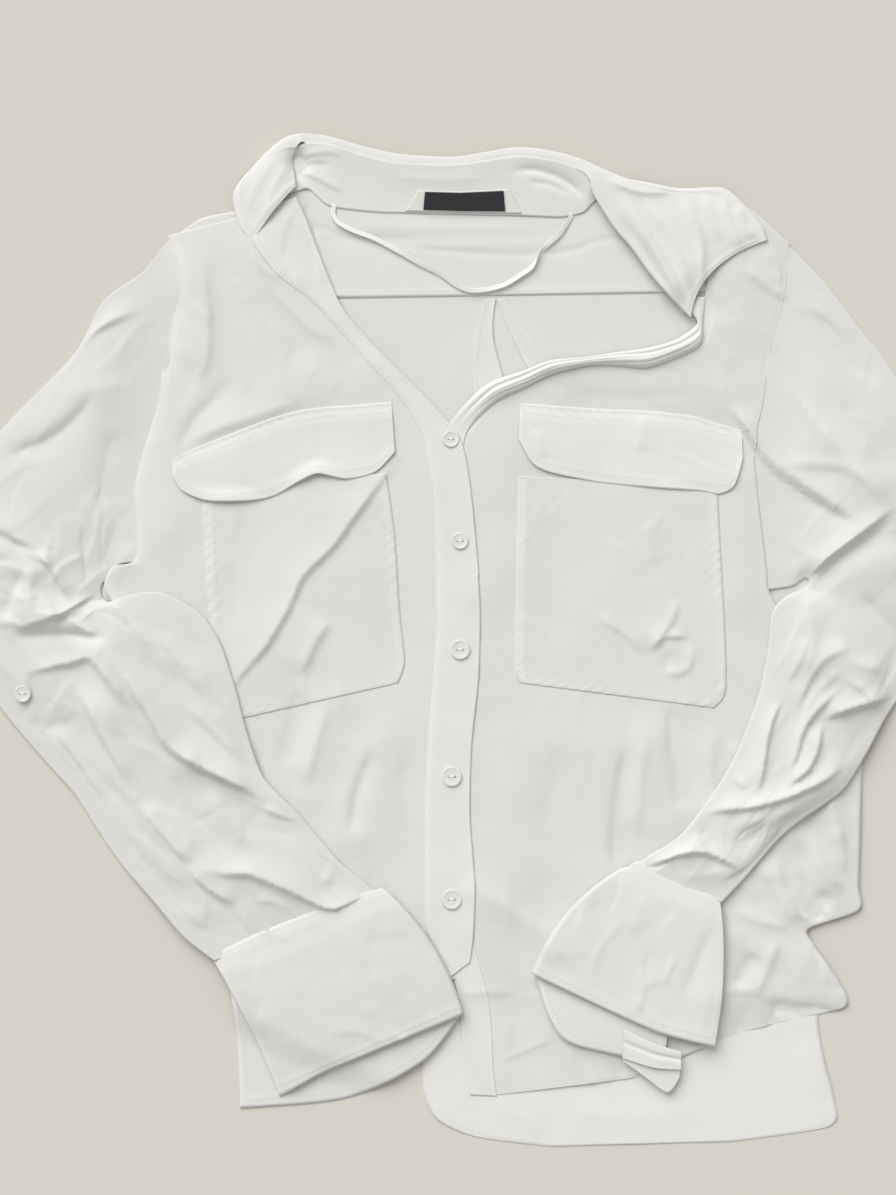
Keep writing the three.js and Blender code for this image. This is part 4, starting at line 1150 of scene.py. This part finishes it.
def hollow_depth(x, y):
    """How far the hollow takes the collar down."""
    across = (x - HOLLOW_PLACE["x"]) / HOLLOW_PLACE["wide"]
    along = (y - HOLLOW_PLACE["y"]) / HOLLOW_PLACE["long"]
    return HOLLOW_PLACE["depth"] * np.exp(-np.hypot(across, along) ** 1.6)


def arc(a, b, c, t):
    """A curve from a through b to c."""
    control = 2 * b - (a + c) / 2
    return (1 - t) ** 2 * a + 2 * t * (1 - t) * control + t * t * c


def make_stand():
    """The collar's stand, lying flat behind the neck."""

    def place(u, v):
        sx, sy, rx, ry, sz, rz = sections(STAND, v)
        x, y = mix(sx, rx, u), mix(sy, ry, u)
        bow = 0.4 * np.sin(np.pi * u)
        z = mix(sz, rz, u) - bow + folds(STAND_FOLDS, x, y) + ripple(x, y, 0.22)
        z = np.maximum(z - hollow_depth(x, y), STAND_LOWEST)
        # The stand is painted nearly white: partly its two real layers, partly painted light that keeps
        # its sloping face as bright as the yoke
        seam = edge_band(u * np.hypot(rx - sx, ry - sy), 2.4)
        return x, y, z, 0.88 + 0.12 * seam

    return cloth("collar_stand_cloth", 28, 320, place, (0.036, 0.44))


def make_leaf():
    """The collar's leaf, open at both ends and folded down behind the neck."""

    def place(u, v):
        fx, fy, mx, my, ex, ey, fz, mz, ez = sections(LEAF, v)
        x, y = arc(fx, mx, ex, u), arc(fy, my, ey, u)
        crease = folds(COLLAR_FOLDS, x, y)
        z = arc(fz, mz, ez, u) + crease + ripple(x, y, 0.3) * smooth(u * 8)
        z = np.where(ez > FALL_EDGE, np.maximum(z - hollow_depth(x, y), LEAF_LOWEST), z)
        wide = np.hypot(ex - fx, ey - fy)
        rim = np.minimum((1 - u) * wide, np.minimum(v, 1 - v) * LEAF_LENGTH)
        stitched = 0.35 * bell(rim, TOPSTITCH, 1.3)
        return x, y, z + stitched, 0.74 + 0.16 * edge_band(rim, TOPSTITCH)

    piece = cloth("collar_leaf_cloth", 42, 320, place, (0.06, 0.45))
    sew(piece, rows_on(place, [((0.88, 0.03), (0.88, 0.16)), ((0.88, 0.62), (0.88, 0.97))]))
    return piece


stand = make_stand()
leaf = make_leaf()
wear(stand, "cloth", "collar_stand")
wear(leaf, "cloth", "collar_leaf")

# ---- Sleeves and cuffs -------------------------------------------------------------------------

# Sections from the armhole to the cuff: outer fold x, y, inner fold x, y, puff, how much of the
# armhole's curve is kept, and 1 where the sleeve rests on the body, 0 on the floor
SLEEVE_LEFT = [
    (-171, 242, -184, 48, 0.4, 1, 0), (-185, 221, -198, 46, 3, 0.6, 0),
    (-208, 203, -205, 37, 5, 0.3, 0), (-226, 171, -208, 34.5, 7, 0, 0),
    (-270, 125, -209, 32, 9, 0, 0), (-288, 91, -209, 29.5, 11, 0, 0),
    (-293, 49, -208.5, 27, 12, 0, 0), (-292, 13, -207, 25, 11, 0, 0),
    (-282, -17, -203.5, 23.5, 10, 0, 0.9), (-272, -36, -191, 28, 8, 0, 1),
    (-264, -47, -172, 29, 8, 0, 1), (-254, -59, -149, 16, 7, 0, 1),
    (-240, -75, -137, -2, 6, 0, 1), (-224, -93, -128, -29, 6, 0, 1), (-210, -115, -121, -56, 5, 0, 1),
    (-196, -135, -111, -82, 5, 0, 1), (-178, -155, -90, -104, 4, 0, 1), (-159, -177, -66, -132, 3, 0, 1),
    (-141, -191, -43, -151, 0.6, 0, 1),
]
SLEEVE_RIGHT = [
    (204, 239, 191, 31, 0.4, 1, 0), (222, 217, 204, 33, 3, 0.6, 0), (242, 191, 210, 37, 5, 0.3, 0),
    (268, 157, 213, 38, 8, 0, 0), (285, 115, 215, 37, 10, 0, 0), (293, 61, 215, 34, 11, 0, 0),
    (292, 19, 212, 31, 11, 0, 0), (286, -5, 202, 27, 10, 0, 0.9), (277, -23, 193, 17, 9, 0, 1),
    (261, -44, 190, -8, 7, 0, 1), (248, -68, 184, -35, 6, 0, 1), (234, -89, 171, -68, 6, 0, 1),
    (210, -106, 157, -92, 6, 0, 1), (195, -119, 138, -116, 5, 0, 1), (177, -140, 120, -128, 3, 0, 1),
    (162, -156, 109, -135, 0.6, 0, 1),
]
# Long folds that the solids have too: from x, y, to x, y, rise, half-width
SLEEVE_RIDGES = [
    (-190, 196, -232, 160, 4, 14), (-258, 122, -212, 148, 4.5, 14), (-276, 68, -244, 44, 5, 12),
    (-258, 20, -206, -2, 5, 12), (-252, -22, -206, -44, 4, 12), (-200, -16, -160, -70, 4, 12),
    (-150, -70, -100, -96, 4, 11), (-160, -134, -88, -142, 4, 11), (206, 168, 254, 96, 4.5, 14),
    (226, 118, 270, 76, 4, 13), (222, 40, 270, 50, 4.5, 13), (208, -8, 250, -20, 4, 12),
    (184, -104, 236, -76, 5, 10), (190, -38, 182, -90, 4, 11), (130, -126, 162, -140, 3.5, 10),
]
LEFT_SLEEVE_FOLDS = [
    # upper arm
    ([(-234, 154), (-222, 175), (-210, 187), (-184, 199)], 2.6, 9, 1.5),
    ([(-270, 109), (-240, 121), (-222, 136), (-210, 154)], -3, 4, 9),
    ([(-198, 130), (-206, 104), (-210, 76)], -1.8, 10, 8),
    # elbow: the pinched crook, the rays from it and the deep hollow
    ([(-288, 74), (-266, 62), (-246, 53)], -3.7, 1.5, 7),
    ([(-248, 54), (-240, 46), (-234, 37), (-227, 23)], 3.3, 7, 1.2),
    ([(-249, 49), (-250, 30), (-248, 13)], 2.4, 4, 7),
    ([(-255, 43), (-262, 26), (-267, 10)], -2.4, 5, 6),
    ([(-190, 82), (-190, 73), (-199, 50), (-206, 34)], -2.4, 1.5, 6),
    ([(-263, 3), (-246, 4), (-230, 4), (-200, 1)], -4.4, 4, 4),
    ([(-262, 6), (-234, 15), (-222, 22), (-208, 31)], 3.5, 8, 1.1),
    ([(-229, 16), (-222, 10), (-210, 3)], 2.4, 1.5, 4),
    ([(-205, 29), (-192, 13), (-174, -8)], 2.4, 1.5, 6),
    # forearm: long folds that run down to the cuff
    ([(-257, -21), (-240, -16), (-225, -13), (-216, -10), (-207, -19), (-195, -35), (-184, -46)],
     3.5, 8, 1.2),
    ([(-201, -2), (-195, -17), (-189, -29), (-180, -43), (-171, -59), (-163, -67), (-135, -82),
      (-105, -98)], 5.0, 10, 1.2),
    ([(-168, -62), (-150, -76), (-135, -82), (-114, -91)], 2.9, 5, 0.9),
    ([(-112, -99), (-102, -104), (-88, -108)], 2.2, 5, 1),
    ([(-122, -104), (-104, -110), (-90, -109)], -2, 4, 5),
    ([(-224, -26), (-216, -41), (-210, -53), (-201, -68), (-188, -90)], 3.3, 8, 1.3),
    ([(-188, -96), (-174, -112), (-162, -126), (-154, -135)], 3.3, 7, 1.2),
    ([(-157, -132), (-150, -143), (-144, -148), (-127, -158)], 3.1, 6, 1.1),
    ([(-150, -135), (-135, -139), (-120, -139), (-96, -149), (-72, -160), (-57, -155), (-43, -150)],
     4.4, 7, 1.1),
    ([(-89, -111), (-78, -125), (-69, -133), (-54, -142), (-41, -150)], 3.1, 6, 1.1),
    ([(-69, -132), (-75, -146)], 1.4, 3, 3),
    ([(-144, -86), (-126, -113), (-115, -124)], 2.2, 1.5, 8),
    ([(-160, -36), (-140, -56), (-122, -74)], 2, 7, 1.3),
    ([(-176, 4), (-160, -14), (-146, -34)], 1.8, 7, 1.5),
    ([(-186, -126), (-172, -146), (-156, -166)], -1.8, 4, 6),
    ([(-240, -50), (-224, -70), (-206, -96)], 2, 6, 1.3),
]
RIGHT_SLEEVE_FOLDS = [
    # upper arm
    ([(168, 138), (177, 127), (189, 109), (210, 93), (233, 78), (246, 70)], 4.4, 9, 1.1),
    ([(192, 102), (212, 89), (232, 75), (244, 70)], -1.8, 2.5, 8),
    ([(190, 105), (214, 105), (236, 103), (250, 92), (260, 80)], 1.8, 6, 1.5),
    ([(201, 164), (210, 145), (228, 121), (240, 106)], 2.2, 1.1, 8),
    ([(229, 148), (240, 130), (256, 108)], 1.8, 1.2, 7),
    ([(214, 196), (236, 176), (256, 150)], -1.8, 7, 5),
    ([(198, 198), (214, 199), (228, 190), (236, 174)], 1.3, 6, 1.5),
    ([(226, 148), (248, 120), (272, 96)], -1.8, 6, 6),
    # elbow
    ([(192, 22), (212, 35), (223, 48), (236, 58), (268, 82)], 5.0, 8, 1.4),
    ([(204, 24), (218, 34), (230, 47), (240, 54), (268, 74)], -2.4, 2.6, 6),
    ([(213, 25), (216, 1), (210, -23)], 1.8, 4, 7),
    ([(213, 4), (210, -8), (201, -26)], 1.5, 1.5, 5),
    ([(228, 4), (240, -12), (262, -18)], 2.2, 4, 6),
    ([(244, 30), (262, 10), (280, -6)], -2.4, 6, 6),
    # forearm
    ([(222, -48), (228, -44), (246, -38), (268, -33)], 5.2, 8, 1.1),
    ([(199, -88), (206, -82), (213, -76), (219, -64), (222, -48)], 4.5, 8, 1.1),
    ([(201, -80), (206, -68), (211, -52), (222, -38), (233, -28)], 3.8, 6, 1.1),
    ([(183, -94), (187, -72), (191, -50), (199, -33)], 3.8, 6, 1),
    ([(158, -68), (168, -80), (177, -90)], 2.6, 5, 1.2),
    ([(140, -106), (160, -101), (178, -99), (200, -93), (222, -83), (240, -72)], 4.2, 6, 1.1),
    ([(160, -113), (190, -106), (220, -96), (240, -80), (256, -58)], 2.6, 7, 6),
    ([(232, -20), (246, -30), (258, -44), (262, -60)], 2.2, 6, 1.3),
    ([(240, -2), (222, -12), (212, -28), (206, -44)], 2.2, 1.2, 8),
    ([(144, -104), (154, -96), (164, -92)], 2.3, 5, 1.2),
    ([(112, -135), (126, -131), (140, -126), (152, -126), (164, -131), (177, -139)], 4.8, 6, 1.1),
    ([(146, -106), (154, -120), (160, -138)], -2.1, 4, 4),
    ([(200, -106), (189, -121), (176, -135), (160, -143)], 3.4, 1.1, 6),
]
LEFT_SLEEVE_FOLDS += strewn([
    (21, (-285, 30), (-180, 230), -130, 22, 34, (25, 75), 0.6, 2.6),
    (22, (-290, -60), (-200, 70), -60, 40, 46, (15, 50), 1.3, 2.6),
    (23, (-250, -130), (-120, 0), -52, 14, 40, (25, 80), 0.9, 2.6),
    (24, (-190, -190), (-60, -90), -38, 16, 36, (20, 70), 0.9, 2.4),
])
RIGHT_SLEEVE_FOLDS += strewn([
    (31, (185, 60), (290, 240), -55, 20, 34, (25, 75), 0.7, 2.6),
    (32, (190, -40), (292, 90), -118, 22, 34, (20, 60), 0.5, 2.6),
    (33, (160, -120), (280, 0), -124, 12, 40, (35, 90), 0.75, 2.4),
    (34, (110, -160), (220, -70), -152, 12, 36, (25, 70), 0.8, 2.2),
])
PUFF = 0.42  # share of the solids' fullness that thin cloth keeps
SLEEVE_TOP_SHARE = 0.75  # share of the grid's columns on the side that shows
SLEEVE_COLUMNS = 128
EASE = (2, 40)  # where past the armhole's seam the sleeve starts to rise, and over what length
SMOOTH_RIM = 14  # width along a folded edge over which the creases fade
FULL_PUFF = 4  # puff from which the long ridges have their whole height
DENT = 0.85  # share of the puff that a crease may press in
SEAM_SIDE, FREE_SIDE = -3.0, 1.0  # how far out from the armhole's curve it starts and goes on
ARMHOLE_DROP = 0.6  # how far under the front's top the sleeve starts, but not lower than this
LOWEST_START = Z_FRONT - 0.5
CROWN = 0.8  # under 1 a puffed section is full up to its sides
EDGE_DROP = 0.3  # how much flatter a folded edge is than its two layers


def make_sleeve(name, table, armhole, outwards, creases, cut):
    """A flattened tube of cloth, open at the armhole and at the cuff."""
    (top_x, top_y), (base_x, base_y) = armhole[0], armhole[-1]
    _, long = spans(table, 2)

    def place(u, v):
        ox, oy, ix, iy, puff, kept, rests = sections(table, v)
        over = u <= SLEEVE_TOP_SHARE
        turn = np.where(over, u / SLEEVE_TOP_SHARE, (1 - u) / (1 - SLEEVE_TOP_SHARE))
        t = (1 - np.cos(np.pi * np.clip(turn, 0, 1))) / 2
        width = np.hypot(ix - ox, iy - oy)
        bend = armhole_at(armhole, mix(top_y, base_y, t)) - mix(top_x, base_x, t)
        eased = smooth((v * long - EASE[0]) / EASE[1])
        x = mix(ox, ix, t) + kept * (bend + outwards * mix(SEAM_SIDE, FREE_SIDE, eased))
        y = mix(oy, iy, t)
        floor = np.clip(rests, 0, 1) * bed(x, y)
        crown = np.sin(np.pi * np.clip(t, 0, 1)) ** CROWN
        share = np.minimum(1, puff / FULL_PUFF)
        edge = np.minimum(t, 1 - t) * width
        half = TURN / 2 - EDGE_DROP
        round_off = np.sqrt(np.clip(1 - (1 - np.minimum(edge / half, 1)) ** 2, 0, 1))
        body = smooth(edge / SMOOTH_RIM)
        fold = SWELL * share * crown * ridges(SLEEVE_RIDGES, x, y) + body * folds(creases, x, y)
        puff = PUFF * puff
        upper = floor + TURN / 2 + half * round_off + puff * crown
        upper = upper + np.maximum(fold + body * ripple(x, y, LOOSE), -DENT * puff * crown)
        start = np.maximum(lie(x, y, Z_FRONT) - ARMHOLE_DROP, LOWEST_START)
        upper = mix(start, upper, eased)
        lower = floor + TURN / 2 - half * round_off * eased
        # The sleeves are painted greyer than their two layers would be: painted shade, lighter at the
        # seams at both ends
        seam = edge_band(np.minimum(v, 1 - v) * long, 4)
        return x, y, np.where(over, upper, lower), 0.12 + 0.35 * seam

    return cloth(name, SLEEVE_COLUMNS, math.ceil(long / 1.9), place, cut, tube=True)


SLEEVES = {
    "sleeve_left": (SLEEVE_LEFT, ARMHOLE_LEFT, -1, LEFT_SLEEVE_FOLDS, (0.38, 0.46)),
    "sleeve_right": (SLEEVE_RIGHT, ARMHOLE_RIGHT, 1, RIGHT_SLEEVE_FOLDS, (0.38, 0.42)),
}
for node, (table, armhole, outwards, creases, cut) in SLEEVES.items():
    sleeve = make_sleeve(f"{node}_cloth", table, armhole, outwards, creases, cut)
    wear(sleeve, "cloth", node)

# Cuffs, folded over once: seam x, y, middle x, y, mouth x, y. The layer below starts at the
# upper one's last row.
CUFF_LEFT = {
    "over": [
        (-141, -191.6, -121, -228, -102, -273), (-110, -179, -88, -222, -72, -256),
        (-77, -165.6, -52, -205, -32, -239), (-50, -154.6, -22, -188, -3, -227),
        (-38, -151, -11, -183.5, 6.5, -223),
    ],
    "under": [
        (-60, -162, -36, -210, -16, -251), (-90, -175, -76, -226, -62, -274),
        (-134, -192, -128, -236, -126, -280),
    ],
}
CUFF_RIGHT = {
    "over": [
        (161.5, -156.4, 163, -198, 158, -242), (137, -146.7, 134, -190, 124, -233),
        (113, -137.2, 102, -180, 84, -215), (102, -137.2, 71, -163.5, 51, -199.5),
    ],
    "under": [
        (113, -143, 84, -190, 60, -226), (124, -147, 100, -200, 74, -241),
        (142, -152, 134, -204, 128, -253),
    ],
}
CUFF_TURN = 1.6  # radius of the turn between the two layers
CUFF_LAP = 5  # how far the upper layer laps over the sleeve's end
# How far the upper layer stands up along its middle and everywhere, how much less at its seam,
# and over what width
SLACK = {"middle": 1.4, "everywhere": 0.4, "at_seam": 1.8, "over": 16}
CUFF_FOLDS = [
    ([(-82, -166), (-66, -191), (-63, -206)], -1.0, 6, 6),
    ([(-46, -196), (-30, -214)], 0.6, 5, 5),
    ([(159, -167), (150, -185), (138, -215)], -1.2, 8, 3),
    ([(116, -150), (108, -176)], 0.7, 6, 6),
]
CUFF_FOLDS += strewn([
    (41, (-130, -270), (0, -160), -40, 50, 22, (15, 50), 0.7, 2.4),
    (42, (60, -240), (160, -145), -110, 40, 20, (15, 45), 0.7, 2.4),
])


def cuff_rows(over, under):
    """The sections of a cuff with the round turn put in: three x, y pairs and the layer."""
    edge = np.array(over[-1], float)
    outward = edge[2:4] - np.array(over[-2][2:4], float)
    outward *= CUFF_TURN / np.linalg.norm(outward)
    rows = [(*row, 1) for row in over]
    for angle in (math.pi / 4, math.pi / 2, 3 * math.pi / 4):
        row = edge + np.tile(outward * math.sin(angle), 3)
        rows.append((*row, (1 + math.cos(angle)) / 2))
    return rows + [(*edge, 0)] + [(*row, 0) for row in under]


def make_cuff(name, shape, cut, white, settles):
    """A folded cuff; settles is how far the upper layer's free side sinks."""
    table = cuff_rows(**shape)
    _, long = spans(table, 3)

    def place(u, v):
        sx, sy, mx, my, ex, ey, layer = sections(table, v)
        rise = np.clip(layer, 0, 1)
        over = smooth(rise)
        wide = np.hypot(ex - sx, ey - sy)
        along = u - over * (1 - u) * CUFF_LAP / wide
        x, y = arc(sx, mx, ex, along), arc(sy, my, ey, along)
        mouth = (1 - u) * wide
        rim = np.minimum.reduce([u * wide, mouth, v * long, (1 - v) * long])
        stitched = 0.3 * bell(rim, TOPSTITCH, 1.3)
        slack = SLACK["middle"] * np.sin(np.pi * np.clip(u, 0, 1)) + SLACK["everywhere"]
        slack = over * (slack - SLACK["at_seam"] * (1 - smooth(u * wide / SLACK["over"])))
        slack -= over * settles * (1 - smooth(v * long / SLACK["over"]))
        z = bed(x, y) + 0.6 + 2 * CUFF_TURN * rise + slack + over * folds(CUFF_FOLDS, x, y)
        return x, y, z + stitched + ripple(x, y, 0.2), white + 0.3 * edge_band(rim, TOPSTITCH)

    piece = cloth(name, 48, math.ceil(long / 1.7), place, cut)
    sew(piece, rows_on(place, [((0.05, 0.02), (0.05, 0.5)), ((0.945, 0.02), (0.945, 0.98))]))
    return piece


# The left cuff is painted darker than the right (0.2 against 0.5): painted shade over its two real
# layers
wear(make_cuff("cuff_left_cloth", CUFF_LEFT, (0.1, 0.24), 0.2, 2.6), "cloth", "cuff_left")
wear(make_cuff("cuff_right_cloth", CUFF_RIGHT, (0.105, 0.24), 0.5, 0.8), "cloth", "cuff_right")

# The free end of the right cuff, folded out below the mouth: top x, y, bottom x, y
CUFF_END = [(104, -231.5, 103, -249), (122, -240, 121, -254.5), (138, -245, 138, -256)]
# The end's lower half, folded under: top x, y, bottom x, y
CUFF_END_UNDER = [
    (103, -247, 103.5, -251), (114, -249, 116, -260), (128, -251, 130, -270),
    (138, -253, 137, -261),
]
END_HEIGHT = 2.6  # over what the cuff's end lies on, and the height of its lower half
UNDER_END_HEIGHT = 1.0


def end_height(x, y, edges):
    """A crease along the middle and a slow wave."""
    middle = 0.45 * (edges["start"] + edges["end"])
    crease = -0.9 * bell(edges["start"], middle, 1.4)
    return bed(x, y) + END_HEIGHT + crease + 0.4 * np.sin(x / 6)


def under_end_height(x, y, edges):
    return bed(x, y) + UNDER_END_HEIGHT


def end_white(edges):
    return 0.6 + 0.4 * edge_band(nearest_edge(edges, "start", "end"), 1.2)


END_CUT = (0.018, 0.037)
cuff_end = panel("cuff_end_cloth", CUFF_END, END_CUT, end_height, end_white, step=0.8)
under_end = panel("cuff_end_under", CUFF_END_UNDER, END_CUT, under_end_height, end_white, step=1.2)
wear(cuff_end, "cloth", "cuff_end_right")
wear(under_end, "cloth")
SEWN_ON["cuff_end_cloth"] = [under_end]

# ---- Ribbon, label and buttons ----------------------------------------------------------------

# The hanger ribbon lies loose inside the neck, both ends at the neck seam: x, y, z
RIBBON_ROUTE = [
    (-69, 262, 1.7), (-70, 256, 2.2), (-66, 250, 2.9), (-57, 245.5, 2.9), (-45, 241, 2.9),
    (-30, 233, 2.9), (-18, 226, 2.9), (-6, 220, 2.9), (4, 213, 2.9), (12, 210, 2.9),
    (22, 210.5, 2.9), (33, 213.5, 2.9), (42, 219, 2.9), (49, 224, 2.9), (53, 231, 2.9),
    (58, 237, 2.9), (65, 243, 2.9), (70, 250, 2.4), (74, 256, 1.7),
]
RIBBON = {"width": 3.0, "thickness": 0.35, "length": 184}
RIBBON_TURN = {"at": 0.76, "over": 0.12}  # where it turns over, as shares of its length


def make_ribbon():
    """A flat satin ribbon that turns over once on its way."""
    route = sections(RIBBON_ROUTE, np.linspace(0, 1, 120)).T
    tangent = np.gradient(route, axis=0)
    tangent /= np.linalg.norm(tangent, axis=1)[:, None]
    side = np.cross(tangent, [0, 0, 1])
    side /= np.linalg.norm(side, axis=1)[:, None]

    def place(u, v):
        n = v * (len(route) - 1)
        at = [np.interp(n, range(len(route)), route[:, k]) for k in range(3)]
        across = [np.interp(n, range(len(route)), side[:, k]) for k in range(3)]
        turned = np.pi * smooth((v - RIBBON_TURN["at"]) / RIBBON_TURN["over"])
        turn = 0.35 * np.sin(v * 11) + turned
        reach = (u - 0.5) * RIBBON["width"]
        flat, upright = reach * np.cos(turn), reach * np.sin(turn)
        x, y = at[0] + across[0] * flat, at[1] + across[1] * flat
        return x, y, at[2] + upright, np.ones(u.shape)

    cut = (RIBBON["width"] * MM, RIBBON["length"] * MM)
    ribbon = cloth(
        "ribbon", 6, 240, place, cut, material=WHITE_SATIN, thickness=RIBBON["thickness"]
    )
    wear(ribbon, "ribbon", "hanger_loop")


make_ribbon()

# Label and its backing on the stand's inner face: ends at the top and at the bottom, shares of
# the stand's height, and how far it stands off the stand
BACKING = {
    "top": (-19, 35), "bottom": (-27, 43), "low": 0.04, "high": 0.46, "off": 0.75, "wall": 0.3,
}
LABEL = {
    "top": (-15, 32), "bottom": (-16, 33), "low": 0.07, "high": 0.43, "off": 1.5, "wall": 0.4,
}
LABEL_SIZE = (50, 11)
STAND_BACK = STAND[1:9]  # the stand's straight stretch behind the neck


def on_stand(name, piece, material, cut):
    """A small strip laid against the collar stand."""
    stand_rows = np.array(STAND_BACK, float)

    def place(u, v):
        share = mix(piece["low"], piece["high"], 1 - v)
        left = mix(piece["bottom"][0], piece["top"][0], 1 - v)
        right = mix(piece["bottom"][1], piece["top"][1], 1 - v)
        x = mix(left, right, u)
        sy, ry, sz, rz = (np.interp(x, stand_rows[:, 0], stand_rows[:, k]) for k in (1, 3, 4, 5))
        slope = np.hypot(ry - sy, rz - sz)
        y = mix(sy, ry, share) - piece["off"] * (rz - sz) / slope
        z = mix(sz, rz, share) + piece["off"] * (ry - sy) / slope
        sides = np.minimum(u, 1 - u) * LABEL_SIZE[0]
        rim = np.minimum(sides, np.minimum(v, 1 - v) * LABEL_SIZE[1])
        return x, y, z, 0.7 + 0.3 * edge_band(rim, 1.2)

    return cloth(name, 60, 16, place, cut, material=material, thickness=piece["wall"])


wear(on_stand("label_backing", BACKING, CLOTH, (0.07, 0.012)), "cloth", "label_patch")
wear(on_stand("neck_label", LABEL, BLACK_SATIN, (0.05, 0.0105)), "label", "label")

# Buttons down the placket: x, y, radius, tilt in radians
BUTTONS = [
    (0.5, 121, 5, 0.06), (6, 60, 5, 0), (6, -5, 6, 0), (1, -81, 6, 0), (1, -154.5, 6, 0),
]
BUTTON_SIDES = 48
BUTTON_HEIGHT = 0.5  # of the profile's height
# Half of a button's section, from the middle of its back to the middle of its face: share of the
# radius, height
BUTTON_PROFILE = [
    (0.02, 0), (0.78, 0), (0.93, 0.16), (1, 0.55), (1, 1.5), (0.97, 1.9), (0.91, 2.05),
    (0.84, 2.0), (0.78, 1.8), (0.68, 1.5), (0.5, 1.38), (0.02, 1.34),
]
HOLE = {"apart": 0.3, "radius": 0.13, "sides": 14, "depth": 0.22, "height": 1.33}
BAR = {"wide": 0.4, "tall": 0.35, "height": 1.5}  # the thread between the two holes
HOLE_SLOT, BAR_SLOT = 1, 2
TAB_BUTTON = {"radius": 5, "sunk": 1.6}
BUTTON_SHANK = 0.15  # air between a front button and the placket


def paint_part(made, slot):
    """Gives the faces of a part that was just made their own material."""
    for face in {face for vert in made["verts"] for face in vert.link_faces}:
        face.material_index = slot


def button_mesh(radius):
    """A round button with a raised rim, a dished middle and two holes sewn through, the holes filled
    with dark painted shade.
    """
    bm = bmesh.new()
    corners = [bm.verts.new((share * radius, 0, z)) for share, z in BUTTON_PROFILE]
    edges = [bm.edges.new(pair) for pair in zip(corners, corners[1:])]
    bmesh.ops.spin(
        bm, geom=corners + edges, cent=(0, 0, 0), axis=(0, 0, 1), angle=2 * math.pi,
        steps=BUTTON_SIDES, use_merge=True,
    )
    bmesh.ops.remove_doubles(bm, verts=bm.verts, dist=0.0001)
    bmesh.ops.holes_fill(bm, edges=[edge for edge in bm.edges if edge.is_boundary])
    bmesh.ops.recalc_face_normals(bm, faces=bm.faces)
    apart, hole_radius = HOLE["apart"] * radius, HOLE["radius"] * radius
    # Each hole is a dark plug of painted shade
    for sign in (-1, 1):
        hole = bmesh.ops.create_cone(
            bm, cap_ends=True, segments=HOLE["sides"], radius1=hole_radius, radius2=hole_radius,
            depth=HOLE["depth"], matrix=Matrix.Translation((sign * apart, 0, HOLE["height"])),
        )
        paint_part(hole, HOLE_SLOT)
    place = Matrix.Translation((0, 0, BAR["height"])) @ Matrix.Scale(BAR["wide"], 4, (0, 1, 0))
    place = place @ Matrix.Scale(BAR["tall"], 4, (0, 0, 1))
    bar = bmesh.ops.create_icosphere(bm, subdivisions=2, radius=apart, matrix=place)
    paint_part(bar, BAR_SLOT)
    return bm


def place_button(node, x, y, z, radius, lean):
    """One button in its place, turned by a lean."""
    bm = button_mesh(radius)
    bmesh.ops.transform(bm, matrix=Matrix.Scale(BUTTON_HEIGHT, 4, (0, 0, 1)), verts=bm.verts)
    bmesh.ops.transform(bm, matrix=Matrix.Translation((x, y, z)) @ lean, verts=bm.verts)
    bmesh.ops.transform(bm, matrix=Matrix.Scale(MM, 4), verts=bm.verts)
    mesh = bpy.data.meshes.new(f"{node}_resin")
    bm.to_mesh(mesh)
    bm.free()
    obj = link(f"{node}_resin", mesh, [PEARL, HOLE_SHADE, THREADS])
    wear(obj, "button", node)


for n, (x, y, radius, tilt) in enumerate(BUTTONS):
    spot = np.array([float(x)]), np.array([float(y)])
    z = float(lie(*spot, Z_PLACKET)[0]) + THREAD / 2 + BUTTON_SHANK
    place_button(f"button_{n + 1}", x, y, z, radius, Matrix.Rotation(tilt, 4, "Y"))
low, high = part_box("sleeve_tab_button")
x, y = ((low[k] + high[k]) / 2 / MM for k in (0, 1))
z = low[2] / MM - TAB_BUTTON["sunk"]
place_button("sleeve_tab_button", x, y, z, TAB_BUTTON["radius"], Matrix.Identity(4))

# ---- What goes with the back -------------------------------------------------------------------

# The pleats go with the back, after its stitches.
SEWN_ON["back"] += pleats
